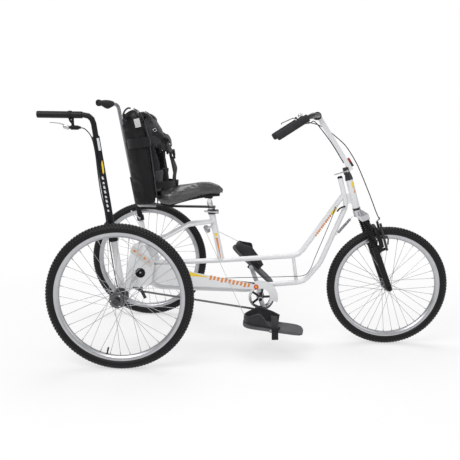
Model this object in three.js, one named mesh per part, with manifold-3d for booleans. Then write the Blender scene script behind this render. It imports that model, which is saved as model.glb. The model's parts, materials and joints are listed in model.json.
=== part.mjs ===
import * as THREE from 'three';
import { mergeVertices } from 'three/addons/utils/BufferGeometryUtils.js';
import Module from 'manifold-3d';

const wasm = await Module();
wasm.setup();

// Adaptive tricycle with two rear wheels, a backrest with harness, foot cups and push handles.
// Millimetres, X forward, Y to the rider's left, Z up. All heights except those of the
// wheels are measured from the rear axle.

// Driving sizes
const rearWheelRadius = 330;
const frontWheelRadius = 302;
const track = 812;
const wheelbase = 1270;
const seatGap = 0.3;
const slideGap = 0.5;
const cutOverrun = 20;
const weldOverlap = 2;

const wheel = {
  tyreWidth: 46, tyreDepth: 41, rimWidth: 27, rimDepth: 20,
  spokeRadius: 1.1, spokeOffset: 2.4, spokeInset: 3, spokeSpread: 3, nippleSink: 1.5,
};
const rearHub = {
  flangeRadius: 37, flangeThickness: 6, outerFlange: 50, innerFlange: 26, barrelRadius: 21,
  shoulder: 9, shoulderRadius: 30, boltRadius: 3.5, boltHeight: 3, boltCircle: 27,
};
const frontHub = {
  flangeRadius: 20, flangeThickness: 6, outerFlange: 28, innerFlange: 28, barrelRadius: 13,
  shoulder: 6, shoulderRadius: 15,
};
const axle = { radius: 10, capRadius: 14, capHeight: 9 };
const frontAxle = { radius: 5, nutRadius: 9, nutHeight: 8 };

const frameTube = { radius: 12.7, upperBend: 70, lowerBend: 60 };
const upperTube = {
  rear: 70, rearRise: 66, seatJoin: 432, seatRise: 87, elbow: 822, elbowRise: 119,
  head: 1034, headRise: 431,
};
// The lower tube keeps these clearances from the front wheel at its shin and at its elbow.
const frontClearance = { shin: 37, elbow: 116 };
const frontWheelRear = wheelbase - frontWheelRadius;
const lowerTube = {
  rear: 70, rearRise: -6, stay: 114, stayRise: -58, bracket: 566, bracketRise: -64,
  nose: 654, noseRise: -38, elbow: frontWheelRear - frontClearance.elbow, elbowRise: -17,
  shin: frontWheelRear - frontClearance.shin, shinRise: 83,
  neck: 1050, neckRise: 380, top: 1013, topRise: 512,
};
const strut = { radius: 9, upper: 794, lower: 816 };
const seatTube = { foot: 432, footRise: 90, top: 378, topRise: 348, radius: 16, bore: 13.9, boreDepth: 190 };
const seatCollar = { radius: 20, height: 26, earReach: 15, earThickness: 32 };
const headTube = {
  top: 1058, topRise: 504, bottom: 1099, bottomRise: 366, radius: 18, bore: 15, web: 9, webInset: 22,
};
const endCap = { radius: 14, height: 9, plugRadius: 10, plugDepth: 12 };
const bracketShell = { distance: 632, rise: -85, radius: 21, halfWidth: 35, bore: 15, post: 18 };

const rearPlate = { offset: 86, thickness: 5, bossRadius: 34, window: 34, windowRadius: 26 };
const crossTube = { distance: 28, rise: 172, radius: 13, reach: 14 };
const tieTube = { distance: 70, rise: 66, radius: 15 };
// How far inside the middle of a rear tyre the axle housing ends and the push bar's socket stands.
const wheelInset = { housing: 42, socket: 79 };
const housing = { radius: 22, bore: 10.6, outer: track / 2 - wheelInset.housing };
const stay = { radius: 8, frontOffset: 18, front: 392, frontRise: 287, bend: 268, bendRise: 270,
  bendOffset: 48,
  rear: 136, rearRise: 195, rearOffset: 68, bendRadius: 40 };
const socket = {
  offset: track / 2 - wheelInset.socket, radius: 15, foot: -3, footLeft: 10, rise: 236,
};

const chainPlane = -56;
const sprocket = { radius: 31, rimRadius: 27, thickness: 22, toothDepth: 4, teeth: 16 };
const chainring = { radius: 61, thickness: 4, ringWidth: 10, toothDepth: 4, teeth: 32, armWidth: 11 };
const chain = { height: 8, width: 8 };
const tensioner = {
  pivot: -14, pivotRise: -44, jockey: 32, jockeyRise: -53, jockeyRadius: 10, tip: 56, tipRise: -100,
  thickness: 4, armWidth: 15, offset: 11,
};
const guard = {
  offset: -69, thickness: 3, rear: 18, top: 75, rearTop: 70, shoulder: 252, drop: 282, dropRise: 40,
  noseReach: 38, noseTop: -14, noseBottom: -44, bottom: -27, frontBottom: 250, rearBottom: 150,
  rearLow: 4, coverRadius: 88, coverInner: 47, corner: 22, lugRadius: 4,
};
const crank = {
  length: 127, offset: 96, thickness: 13, width: 24, endWidth: 20, angle: -68, axleRadius: 8.5,
  bossRadius: 15,
  pedalRadius: 7,
};
const foot = {
  length: 292, width: 132, thickness: 14, behindPedal: 134, clearance: 2, drop: 2, nearTiltAngle: 7,
  farTiltAngle: 43,
  bearingLength: 96,
};
const cup = {
  wall: 5, inset: 8, length: 168, ankleHeight: 60, frontHeight: 40, flare: 6,
  strapWidth: 36, strapThickness: 4, strapRise: 26, tailLength: 44,
};

// Heights from the top of the seat post down to the seat tube and to the other parts of the seat.
const seatHeight = { post: 43, crown: 91, bar: 32, pivot: 26 };
const post = {
  top: 366, topRise: seatTube.topRise + seatHeight.post, radius: 13.6, depth: 150, headRadius: 19,
  headHeight: 22,
};
const quickLever = { length: 62, radius: 4.5, pivotRadius: 6 };
const saddle = {
  rear: 112, nose: 444, width: 236, crownRise: post.topRise + seatHeight.crown, height: 92,
};
const pan = { thickness: 10 };
const back = {
  pivot: 24, pivotRise: post.topRise - seatHeight.pivot, reclineAngle: 7.6, width: 316, height: 478,
  depth: 104, thickness: 40, corner: 56,
  shellThickness: 5, shellHeight: 420, shellRaise: 26,
};
const backBar = {
  width: 34, thickness: 9, front: 330, rise: post.topRise - seatHeight.bar, upright: 250,
  clearance: 10,
};
const harness = {
  thickness: 7, front: 92, bottom: 282, top: 408,
  shoulderWidth: 44, shoulderOffset: 70, shoulderRise: 446, strapThickness: 5, strapWidth: 26,
  buckleWidth: 58, buckleHeight: 44, buckleThickness: 15,
};
const belt = {
  rise: 104, height: 36, thickness: 5, front: 165, padHeight: 64, padLength: 48, padThickness: 16,
  buckle: 48,
};

const headset = { topRadius: 20, topTip: 15.5, topHeight: 29, bottomRadius: 21, bottomHeight: 10 };
const steerer = { radius: 12.7 };
const stemClamp = { radius: 19, height: 34, blockLength: 30, blockWidth: 26 };
const stemLever = { length: 66, radius: 3.6, pivotRadius: 5 };
const stem = { foot: 1064, footRise: 552, top: 899.5, topRise: 803.4, depth: 21, width: 32 };
const bar = {
  radius: 11, clampForward: 888, rise: 810, straight: 62, gripStart: 846, gripOffset: 168,
  gripStartRise: 809,
  gripEnd: 694, gripEndOffset: 190, gripEndRise: 710, bend: 34, clampRadius: 20, clampWidth: 44,
};
const grip = { radius: 18, length: 168, shortened: 22, endRound: 9 };
const bell = { radius: 14, height: 12, stemHeight: 4, standRadius: 6, along: 14 };
const barCollar = { radius: 15, from: 4, length: 38 };
const hoodLever = { width: 8, thickness: 4, lift: 38, pivotLift: 21, reach: 78, start: 40, bodyRadius: 6 };
const reflector = { width: 34, height: 44, depth: 11 };

const fork = {
  legOffset: 56, legTop: 1136, legTopRise: 314, bootRadius: 19, bootLength: 148, lowerRadius: 15.5,
  dropoutWidth: 26, dropoutThickness: 8, crownHeight: 26, crownDepth: 40, stanchionRadius: 11,
  archRise: 26, bossReach: 32, bossRadius: 7, travel: 32,
};
const caliper = { armLength: 128, width: 11, thickness: 9, padLength: 48, padHeight: 10, padThickness: 9,
  rimClearance: 2, studRadius: 4, topOffset: 12 };
const spring = {
  front: 1083, frontRise: 322, rear: 1003.7, rearRise: 226, coilRadius: 6.2, wireRadius: 1.2, coilLength: 92,
  curls: 11, stepsPerCurl: 8, sides: 5,
};

const pushRight = {
  leanAngle: 8.6, sleeveRadius: 16, sleeveTop: 700, sleeveBottom: 262, barRadius: 12, gripRadius: 15,
  gripLength: 196,
  bend: 44, top: 790, gripEnd: -362, innerLength: 190, collarRadius: 20, collarHeight: 26,
};
const pushLeft = {
  leanAngle: 10.6, sleeveRadius: 14.5, sleeveTop: 479, sleeveBottom: 262, barRadius: 9.5, barTop: 872,
  bend: 32,
  gripRadius: 18, gripLength: 104, gripAngle: 52, innerLength: 180, collarRadius: 20, collarHeight: 30,
};
const pushLever = {
  pivot: -222, pivotRise: 736, bodyLength: 46, bodyHeight: 12, bodyWidth: 16, bladeReach: 84,
  bladeWidth: 12, bladeThickness: 4,
};
const clampLever = { length: 64, radius: 4, pivotRadius: 5.5 };
const pulley = { distance: 358, rise: 246, radius: 21, groove: 3, width: 9, bore: 5, armReach: 18,
  armWidth: 12 };
const cable = { radius: 2.4, thinRadius: 1.6, sides: 8 };
const cord = { radius: 1.3, sides: 6 };

// Facets
const wheelFacets = 32;
const tubeFacets = 12;
const smallFacets = 8;
const spokeCount = 32;

// Shapes of outlines as shares of the sizes that they follow
const centredShare = 0.5;
const longestBendShare = 0.48;
const parallelShare = 0.95;
const tyreShares = [[0, -0.45], [0.35, -0.95], [0.68, -0.9], [1, -0.34], [1, 0.34], [0.68, 0.9],
  [0.35, 0.95], [0, 0.45]];
const rimShares = [[0, -1], [0, 1], [0.55, 1], [1, 0.4], [1, -0.4], [0.55, -1]];
const rearPlateShares = [
  [-0.2, -0.12], [-0.16, 0.5], [0.02, 1.06], [0.3, 1.06], [0.62, 0.46],
  [0.58, 0.3], [0.52, -0.12], [0.14, -0.22], [-0.1, -0.22],
];
const plateCornerShare = 0.5;
const collarEarShare = 0.7;
const capDomeShare = 0.75;
const headWebShare = 0.5;
const carrierShare = 0.85;
const guardLugShares = [0.22, 0.88];
const lugDropShare = 0.3;
const cupShares = [
  [1, -0.86, 0.6], [0.75, -0.9, 0.78], [0.5, -0.92, 1], [0.32, -0.9, 0.96], [0.14, -0.72, 0.78],
  [0.03, -0.38, 0.68], [0, 0, 0.66], [0.03, 0.38, 0.68],
  [0.14, 0.72, 0.78], [0.32, 0.9, 0.96], [0.5, 0.92, 1], [0.75, 0.9, 0.78], [1, 0.86, 0.6],
];
const cupMiddleShare = 0.5;
const strapShares = [[-0.94, 0.3], [-0.9, 0.62], [-0.6, 0.92], [0, 1], [0.6, 0.92], [0.9, 0.62],
  [0.94, 0.3]];
const tailStartShare = 0.7;
const tailBendShare = 0.4;
const tailWidthShare = 0.8;
const footRoundShare = 0.75;
const cordTieShare = 0.5;
const saddleShares = [
  [0, 0.55, 0.45, 0.1], [0.06, 0.84, 0.66, -0.1], [0.2, 1, 0.72, -0.16], [0.35, 0.93, 0.78, 0.02],
  [0.5, 0.66, 0.86, 0.16],
  [0.65, 0.4, 0.96, 0.26], [0.8, 0.27, 0.97, 0.33], [0.93, 0.22, 0.86, 0.38], [1, 0.11, 0.62, 0.48],
];
const saddleWaistShare = 0.42;
const lowerFullnessShare = 0.7;
const saddleCrownShare = 0.8;
const panWidthShare = 0.5;
const panBlockShare = 0.8;
const tipShare = 0.35;
const leastCornerShare = 0.25;
const backShares = [
  [0, 0.9, 0.9, 0.6], [0.03, 0.97, 0.97, 0.9], [0.08, 1, 1, 1], [0.3, 1, 1, 1], [0.58, 1, 0.97, 1],
  [0.62, 1, 0.92, 0.97],
  [0.8, 0.98, 0.86, 1], [0.92, 0.95, 0.8, 0.95], [0.98, 0.88, 0.72, 0.8], [1, 0.8, 0.62, 0.5],
];
const eyeShare = 0.75;
const harnessRearShare = 0.94;
const harnessShares = [
  [-0.96, 0.42, 0.86], [-0.78, 0.3, 0.96], [-0.55, 0.14, 1], [-0.28, 0.03, 0.92], [0, 0, 0.86],
  [0.28, 0.03, 0.92], [0.55, 0.14, 1],
  [0.78, 0.3, 0.96], [0.96, 0.42, 0.86],
];
const strapOffsetShare = 0.6;
const buckleShare = 0.75;
const beltShares = [-0.96, -0.75, -0.5, -0.25, 0, 0.25, 0.5, 0.75, 0.96];
const beltBuckleShare = 1.1;
const headsetTaperShare = 0.8;
const leverRiseShare = 0.5;
const leverDropShare = 0.3;
const gripRoundShare = 0.86;
const leverKneeShare = 0.2;
const leverKneeLiftShare = 0.76;
const leverHookShare = 0.84;
const bellDomeShare = 0.8;
const reflectorRiseShare = 0.8;
const mountShare = 0.3;
const kneeShare = 0.45;
const kneeLiftShare = 1.4;
const tipLiftShare = 1.7;
const leverLeanShare = 0.75;
const leverLiftShare = 0.66;

// Counts, angles and facets
const mergeTolerance = 0.0001;
const bendStepAngle = 24;
const cornerSteps = 3;
const arcSteps = 6;
const hubFacets = 12;
const hubBoltCount = 3;
const boltFacets = 6;
const nutFacets = 6;
const spokeFacets = 3;
const spokeLeanAngle = 67.5;
const hullFacets = 20;
const chainringArms = 5;
const coverStartAngle = -14;
const coverEndAngle = 112;
const cordArcSteps = 8;
const saddleFacets = 14;
const wingSteps = 3;
const brakeCableSteps = 14;
const gearCableSteps = 8;
const frameCableSteps = 13;
const handleCableSteps = 12;

// Middle of the overall length, so that the origin lies under the middle of the object
const rearmost = pushRight.gripEnd;
const foremost = wheelbase + frontWheelRadius;
const middle = (rearmost + foremost) / 2;

const vec = (x, y, z) => new THREE.Vector3(x, y, z);
const radians = THREE.MathUtils.degToRad;

// A closed mesh from rings of points; every ring has the same number of points.
function loft(rings, closed = false) {
  const positions = [];
  const indices = [];
  const count = rings[0].length;
  rings.flat().forEach((point) => positions.push(point.x, point.y, point.z));
  const last = closed ? rings.length : rings.length - 1;
  for (let i = 0; i < last; i += 1) {
    const next = (i + 1) % rings.length;
    for (let k = 0; k < count; k += 1) {
      const a = i * count + k;
      const b = i * count + ((k + 1) % count);
      const c = next * count + k;
      const d = next * count + ((k + 1) % count);
      indices.push(a, b, d, a, d, c);
    }
  }
  if (!closed) {
    const contour = flatten(rings[0]);
    const lid = THREE.ShapeUtils.triangulateShape(contour, []);
    const start = (rings.length - 1) * count;
    lid.forEach(([a, b, c]) => indices.push(a, c, b));
    const endLid = THREE.ShapeUtils.triangulateShape(flatten(rings[rings.length - 1]), []);
    endLid.forEach(([a, b, c]) => indices.push(start + a, start + b, start + c));
  }
  const geometry = new THREE.BufferGeometry();
  geometry.setAttribute('position', new THREE.Float32BufferAttribute(positions, 3));
  geometry.setIndex(indices);
  return faceOutward(geometry);
}

// The points of a flat ring in the ring's own plane.
function flatten(ring) {
  const centre = ring.reduce((sum, point) => sum.add(point), vec(0, 0, 0)).divideScalar(ring.length);
  const normal = vec(0, 0, 0);
  ring.forEach((point, i) => {
    const next = ring[(i + 1) % ring.length];
    normal.add(point.clone().sub(centre).cross(next.clone().sub(centre)));
  });
  normal.normalize();
  const across = ring[0].clone().sub(centre);
  across.addScaledVector(normal, -across.dot(normal)).normalize();
  const up = normal.clone().cross(across);
  return ring.map((point) => {
    const offset = point.clone().sub(centre);
    return new THREE.Vector2(offset.dot(across), offset.dot(up));
  });
}

function signedVolume(geometry) {
  const position = geometry.attributes.position;
  const index = geometry.index;
  let sum = 0;
  for (let i = 0; i < index.count; i += 3) {
    const a = vec(0, 0, 0).fromBufferAttribute(position, index.getX(i));
    const b = vec(0, 0, 0).fromBufferAttribute(position, index.getX(i + 1));
    const c = vec(0, 0, 0).fromBufferAttribute(position, index.getX(i + 2));
    sum += a.dot(b.cross(c));
  }
  return sum;
}

function faceOutward(geometry) {
  if (signedVolume(geometry) < 0) {
    const index = geometry.index.array;
    for (let i = 0; i < index.length; i += 3) {
      const swap = index[i + 1];
      index[i + 1] = index[i + 2];
      index[i + 2] = swap;
    }
  }
  return geometry;
}

function clean(geometry) {
  const bare = geometry.clone();
  bare.deleteAttribute('normal');
  bare.deleteAttribute('uv');
  const merged = mergeVertices(bare, mergeTolerance);
  return faceOutward(merged);
}

function toSolid(geometry) {
  const merged = clean(geometry);
  const mesh = new wasm.Mesh({
    numProp: 3,
    vertProperties: new Float32Array(merged.attributes.position.array),
    triVerts: new Uint32Array(merged.index.array),
  });
  return new wasm.Manifold(mesh);
}

function toGeometry(solid) {
  const mesh = solid.getMesh();
  const geometry = new THREE.BufferGeometry();
  geometry.setAttribute('position', new THREE.BufferAttribute(mesh.vertProperties, 3));
  geometry.setIndex(new THREE.BufferAttribute(mesh.triVerts, 1));
  return geometry;
}

function join(...geometries) {
  const solids = geometries.map(toSolid);
  return toGeometry(solids.reduce((sum, solid) => sum.add(solid)));
}

function cut(geometry, ...tools) {
  const solids = tools.map(toSolid);
  return toGeometry(solids.reduce((rest, tool) => rest.subtract(tool), toSolid(geometry)));
}

// A polyline whose inner corners are rounded; bends holds one radius per inner corner.
function roundedPath(corners, bends) {
  const path = [corners[0].clone()];
  for (let i = 1; i < corners.length - 1; i += 1) {
    const inward = corners[i].clone().sub(corners[i - 1]);
    const outward = corners[i + 1].clone().sub(corners[i]);
    const half = inward.angleTo(outward) / 2;
    const radius = Array.isArray(bends) ? bends[i - 1] : bends;
    const most = Math.min(inward.length(), outward.length()) * longestBendShare;
    const reach = Math.min(radius * Math.tan(half), most);
    if (reach === 0) {
      path.push(corners[i].clone());
      continue;
    }
    const from = corners[i].clone().addScaledVector(inward.normalize(), -reach);
    const to = corners[i].clone().addScaledVector(outward.normalize(), reach);
    const curve = new THREE.QuadraticBezierCurve3(from, corners[i], to);
    path.push(...curve.getPoints(Math.max(1, Math.round((2 * half) / radians(bendStepAngle)))));
  }
  path.push(corners[corners.length - 1].clone());
  return path;
}

// A bar of one cross-section along a path, mitred at every point.
function sweep(path, profile, upHint = vec(0, 1, 0), scales = null) {
  const first = path[1].clone().sub(path[0]).normalize();
  const hint = Math.abs(first.dot(upHint)) > parallelShare ? vec(1, 0, 0) : upHint;
  const side = hint.clone().cross(first).normalize();
  const up = first.clone().cross(side);
  let offsets = profile.map(([a, b]) => side.clone().multiplyScalar(a).addScaledVector(up, b));
  const rings = [];
  path.forEach((point, i) => {
    const before = path[i].clone().sub(path[Math.max(i - 1, 0)]).normalize();
    const after = path[Math.min(i + 1, path.length - 1)].clone().sub(path[i]).normalize();
    const isEnd = i === 0 || i === path.length - 1;
    const along = i === 0 ? after : before;
    const normal = isEnd ? along.clone() : before.clone().add(after).normalize();
    const scale = scales ? scales[i] : 1;
    const mitred = offsets.map((offset) => {
      const shift = -offset.dot(normal) / along.dot(normal);
      return offset.clone().addScaledVector(along, shift);
    });
    rings.push(mitred.map((offset) => point.clone().addScaledVector(offset, scale)));
    if (!isEnd) {
      offsets = mitred.map((offset) => offset.clone().addScaledVector(after, -offset.dot(after)));
    }
  });
  return loft(rings);
}

function circle(radius, sides) {
  return Array.from({ length: sides }, (_, k) => {
    const angle = (2 * Math.PI * (k + centredShare)) / sides;
    return [radius * Math.cos(angle), radius * Math.sin(angle)];
  });
}

function rectangle(width, height) {
  const x = width / 2;
  const y = height / 2;
  return [[x, y], [-x, y], [-x, -y], [x, -y]];
}

// The corner radius of a many-sided bore that clears a round of the given radius.
const around = (radius, gap = seatGap, sides = tubeFacets) => (radius + gap) / Math.cos(Math.PI / sides);
const flatRadius = (radius, sides = tubeFacets) => radius * Math.cos(Math.PI / sides);
const tube = (path, radius, sides = tubeFacets) => sweep(path, circle(radius, sides));
const strip = (path, width, thickness, up = vec(0, 1, 0)) => sweep(path, rectangle(thickness, width), up);

// A solid of revolution about the line from one point to another; the profile is [radius, distance].
function turned(profile, from, to, sides = tubeFacets) {
  const points = profile.map(([radius, distance]) => new THREE.Vector2(radius, distance));
  const geometry = clean(new THREE.LatheGeometry(points, sides));
  const direction = to.clone().sub(from).normalize();
  const turn = new THREE.Quaternion().setFromUnitVectors(vec(0, 1, 0), direction);
  geometry.applyQuaternion(turn);
  geometry.translate(from.x, from.y, from.z);
  return geometry;
}

function rod(from, to, radius, sides = tubeFacets) {
  const length = from.distanceTo(to);
  return turned([[0, 0], [radius, 0], [radius, length], [0, length]], from, to, sides);
}

function pipe(from, to, radius, bore, sides = tubeFacets) {
  const length = from.distanceTo(to);
  const wall = [[bore, 0], [radius, 0], [radius, length], [bore, length], [bore, 0]];
  return turned(wall, from, to, sides);
}

function block(sizeX, sizeY, sizeZ, x, y, z) {
  const geometry = new THREE.BoxGeometry(sizeX, sizeY, sizeZ);
  geometry.translate(x, y, z);
  return geometry;
}

// A flat plate whose outline lies in the XZ plane, centred on the given Y.
function plate(shape, thickness, y) {
  const geometry = new THREE.ExtrudeGeometry(shape,
    { depth: thickness, bevelEnabled: false, curveSegments: arcSteps });
  geometry.rotateX(Math.PI / 2);
  geometry.translate(0, y + thickness / 2, 0);
  return clean(geometry);
}

// A flat slab whose outline lies in the XY plane, from the given height up.
function slab(shape, thickness, z) {
  const geometry = new THREE.ExtrudeGeometry(shape,
    { depth: thickness, bevelEnabled: false, curveSegments: arcSteps });
  geometry.translate(0, 0, z);
  return clean(geometry);
}

// A flat outline whose corners are rounded.
function roundedShape(points, radius) {
  const shape = new THREE.Shape();
  points.forEach((corner, i) => {
    const previous = points[(i + points.length - 1) % points.length];
    const next = points[(i + 1) % points.length];
    const here = new THREE.Vector2(...corner);
    const back = new THREE.Vector2(...previous).sub(here);
    const ahead = new THREE.Vector2(...next).sub(here);
    const reach = Math.min(radius, back.length() * longestBendShare, ahead.length() * longestBendShare);
    const from = here.clone().add(back.setLength(reach));
    const to = here.clone().add(ahead.setLength(reach));
    if (i === 0) {
      shape.moveTo(from.x, from.y);
    } else {
      shape.lineTo(from.x, from.y);
    }
    const round = new THREE.QuadraticBezierCurve(from, here, to).getPoints(cornerSteps);
    round.slice(1).forEach((point) => shape.lineTo(point.x, point.y));
  });
  return shape;
}

const object = new THREE.Group();
const onAxle = new THREE.Group();
onAxle.position.z = rearWheelRadius;
object.add(onAxle);
object.position.x = -middle;

function addPiece(name, geometry, material, parent = onAxle) {
  const mesh = new THREE.Mesh(clean(geometry), material.clone());
  mesh.name = name;
  parent.add(mesh);
  return mesh;
}

function finish(color, roughness, metalness) {
  return new THREE.MeshStandardMaterial({ color, roughness, metalness });
}

const whitePaint = finish(0xeceef0, 0.3, 0.1);
const blackPaint = finish(0x151517, 0.4, 0.1);
const steel = finish(0xb9bcc0, 0.3, 0.9);
const chrome = finish(0xd4d6d9, 0.15, 1);
const greyAlloy = finish(0x8b8d90, 0.4, 0.8);
const tyreRubber = finish(0x26272a, 0.85, 0);
const blackRubber = finish(0x2a2b2d, 0.8, 0);
const blackVinyl = finish(0x17171a, 0.4, 0);
const blackPlastic = finish(0x1b1b1d, 0.5, 0);
const greyPlastic = finish(0x6a6c70, 0.6, 0);
const webbing = finish(0x2b2c30, 0.9, 0);
const cordWhite = finish(0xd8d8d4, 0.8, 0);

// Wheels

const flatShare = 1 / Math.cos(Math.PI / wheelFacets);

function tyreShape(radius) {
  const bead = radius - wheel.tyreDepth + seatGap;
  const depth = radius - bead;
  const half = wheel.tyreWidth / 2;
  const profile = tyreShares.map(([out, side]) => new THREE.Vector2((bead + out * depth) * flatShare,
    side * half));
  profile.push(profile[0].clone());
  return clean(new THREE.LatheGeometry(profile, wheelFacets, Math.PI / wheelFacets));
}

function rimShape(radius) {
  const edge = radius - wheel.tyreDepth;
  const half = wheel.rimWidth / 2;
  const profile = rimShares.map(([inward, side]) => (
    new THREE.Vector2((edge - inward * wheel.rimDepth) * flatShare, side * half)));
  profile.push(profile[0].clone());
  return clean(new THREE.LatheGeometry(profile, wheelFacets, Math.PI / wheelFacets));
}

// The outer face of a rear hub looks toward the given side, 1 for left and -1 for right.
function hubShape(hub, bore, side) {
  const thick = hub.flangeThickness / 2;
  const profile = [
    [bore, -hub.innerFlange - thick - hub.shoulder],
    [hub.shoulderRadius, -hub.innerFlange - thick - hub.shoulder],
    [hub.shoulderRadius, -hub.innerFlange - thick], [hub.flangeRadius, -hub.innerFlange - thick],
    [hub.flangeRadius, thick - hub.innerFlange], [hub.barrelRadius, thick - hub.innerFlange],
    [hub.barrelRadius, hub.outerFlange - thick], [hub.flangeRadius, hub.outerFlange - thick],
    [hub.flangeRadius, hub.outerFlange + thick], [hub.shoulderRadius, hub.outerFlange + thick],
    [hub.shoulderRadius, hub.outerFlange + thick + hub.shoulder],
    [bore, hub.outerFlange + thick + hub.shoulder],
  ];
  profile.push(profile[0]);
  return turned(profile, vec(0, 0, 0), vec(0, side, 0), hubFacets);
}

function spokeShape(hub, rimRadius, index, side) {
  const outer = index % 2 === 0;
  const leading = Math.floor(index / 2) % 2 === 0 ? 1 : -1;
  const rimAngle = (2 * Math.PI * index) / spokeCount;
  const holeAngle = rimAngle + leading * radians(spokeLeanAngle);
  const holeRadius = hub.flangeRadius - wheel.spokeInset;
  const flange = (outer ? hub.outerFlange : -hub.innerFlange) * side;
  const from = vec(holeRadius * Math.cos(holeAngle), flange + leading * wheel.spokeOffset,
    holeRadius * Math.sin(holeAngle));
  const reach = rimRadius - wheel.tyreDepth - wheel.rimDepth + wheel.nippleSink;
  const spread = (outer ? wheel.spokeSpread : -wheel.spokeSpread) * side;
  const to = vec(reach * Math.cos(rimAngle), spread, reach * Math.sin(rimAngle));
  return tube([from, to], wheel.spokeRadius, spokeFacets);
}

function addWheel(prefix, suffix, radius, hub, bore, side, place) {
  const group = new THREE.Group();
  group.position.copy(place);
  object.add(group);
  const spokes = Array.from({ length: spokeCount }, (_, k) => spokeShape(hub, radius, k, side));
  const bolts = hub.boltRadius ? hubBolts(hub, side) : [];
  const wheelShape = join(rimShape(radius), hubShape(hub, bore, side), ...spokes, ...bolts);
  addPiece(`${prefix}_wheel${suffix}`, wheelShape, steel, group);
  addPiece(`${prefix}_tyre${suffix}`, tyreShape(radius), tyreRubber, group);
}

function hubBolts(hub, side) {
  const face = hub.outerFlange + hub.flangeThickness / 2 + hub.shoulder;
  return Array.from({ length: hubBoltCount }, (_, k) => {
    const angle = (2 * Math.PI * k) / hubBoltCount;
    const x = (hub.boltCircle - hub.boltRadius) * Math.cos(angle);
    const z = (hub.boltCircle - hub.boltRadius) * Math.sin(angle);
    return rod(vec(x, (face - weldOverlap) * side, z), vec(x, (face + hub.boltHeight) * side, z),
      hub.boltRadius, boltFacets);
  });
}

function rearAxle() {
  const face = rearHub.outerFlange + rearHub.flangeThickness / 2 + rearHub.shoulder;
  const end = track / 2 + face + seatGap;
  return turned([
    [0, -axle.capHeight], [axle.capRadius, -axle.capHeight], [axle.capRadius, 0], [axle.radius, 0],
    [axle.radius, 2 * end], [axle.capRadius, 2 * end], [axle.capRadius, 2 * end + axle.capHeight],
    [0, 2 * end + axle.capHeight],
  ], vec(0, -end, 0), vec(0, end, 0), smallFacets + 2);
}

// Frame

function headLine(rise) {
  const share = (rise - headTube.bottomRise) / (headTube.topRise - headTube.bottomRise);
  return vec(headTube.bottom + share * (headTube.top - headTube.bottom), 0, rise);
}
const headAxis = headLine(headTube.topRise).sub(headLine(headTube.bottomRise)).normalize();
const alongHead = (distance) => headLine(headTube.topRise).addScaledVector(headAxis, distance);
const belowHead = (distance) => headLine(headTube.bottomRise).addScaledVector(headAxis, -distance);

const seatFoot = vec(seatTube.foot, 0, seatTube.footRise);
const seatTop = vec(seatTube.top, 0, seatTube.topRise);
const seatAxis = seatTop.clone().sub(seatFoot).normalize();
const alongSeat = (distance) => seatTop.clone().addScaledVector(seatAxis, distance);

function upperTubePath() {
  return roundedPath([
    vec(upperTube.rear, 0, upperTube.rearRise),
    vec(upperTube.seatJoin, 0, upperTube.seatRise),
    vec(upperTube.elbow, 0, upperTube.elbowRise),
    vec(upperTube.head, 0, upperTube.headRise),
  ], [0, frameTube.upperBend]);
}

const stubTop = vec(lowerTube.top, 0, lowerTube.topRise);

function lowerTubePath() {
  return roundedPath([
    vec(lowerTube.rear, -rearPlate.offset, lowerTube.rearRise),
    vec(lowerTube.stay, 0, lowerTube.stayRise),
    vec(lowerTube.bracket, 0, lowerTube.bracketRise),
    vec(lowerTube.nose, 0, lowerTube.noseRise),
    vec(lowerTube.elbow, 0, lowerTube.elbowRise),
    vec(lowerTube.shin, 0, lowerTube.shinRise),
    vec(lowerTube.neck, 0, lowerTube.neckRise),
    stubTop,
  ], [
    frameTube.lowerBend, frameTube.lowerBend, frameTube.lowerBend, frameTube.upperBend, frameTube.upperBend,
    frameTube.upperBend,
  ]);
}

function pointOnPath(path, forward) {
  const i = path.findIndex((point) => point.x >= forward);
  const share = (forward - path[i - 1].x) / (path[i].x - path[i - 1].x);
  return path[i - 1].clone().lerp(path[i], share);
}

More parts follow.
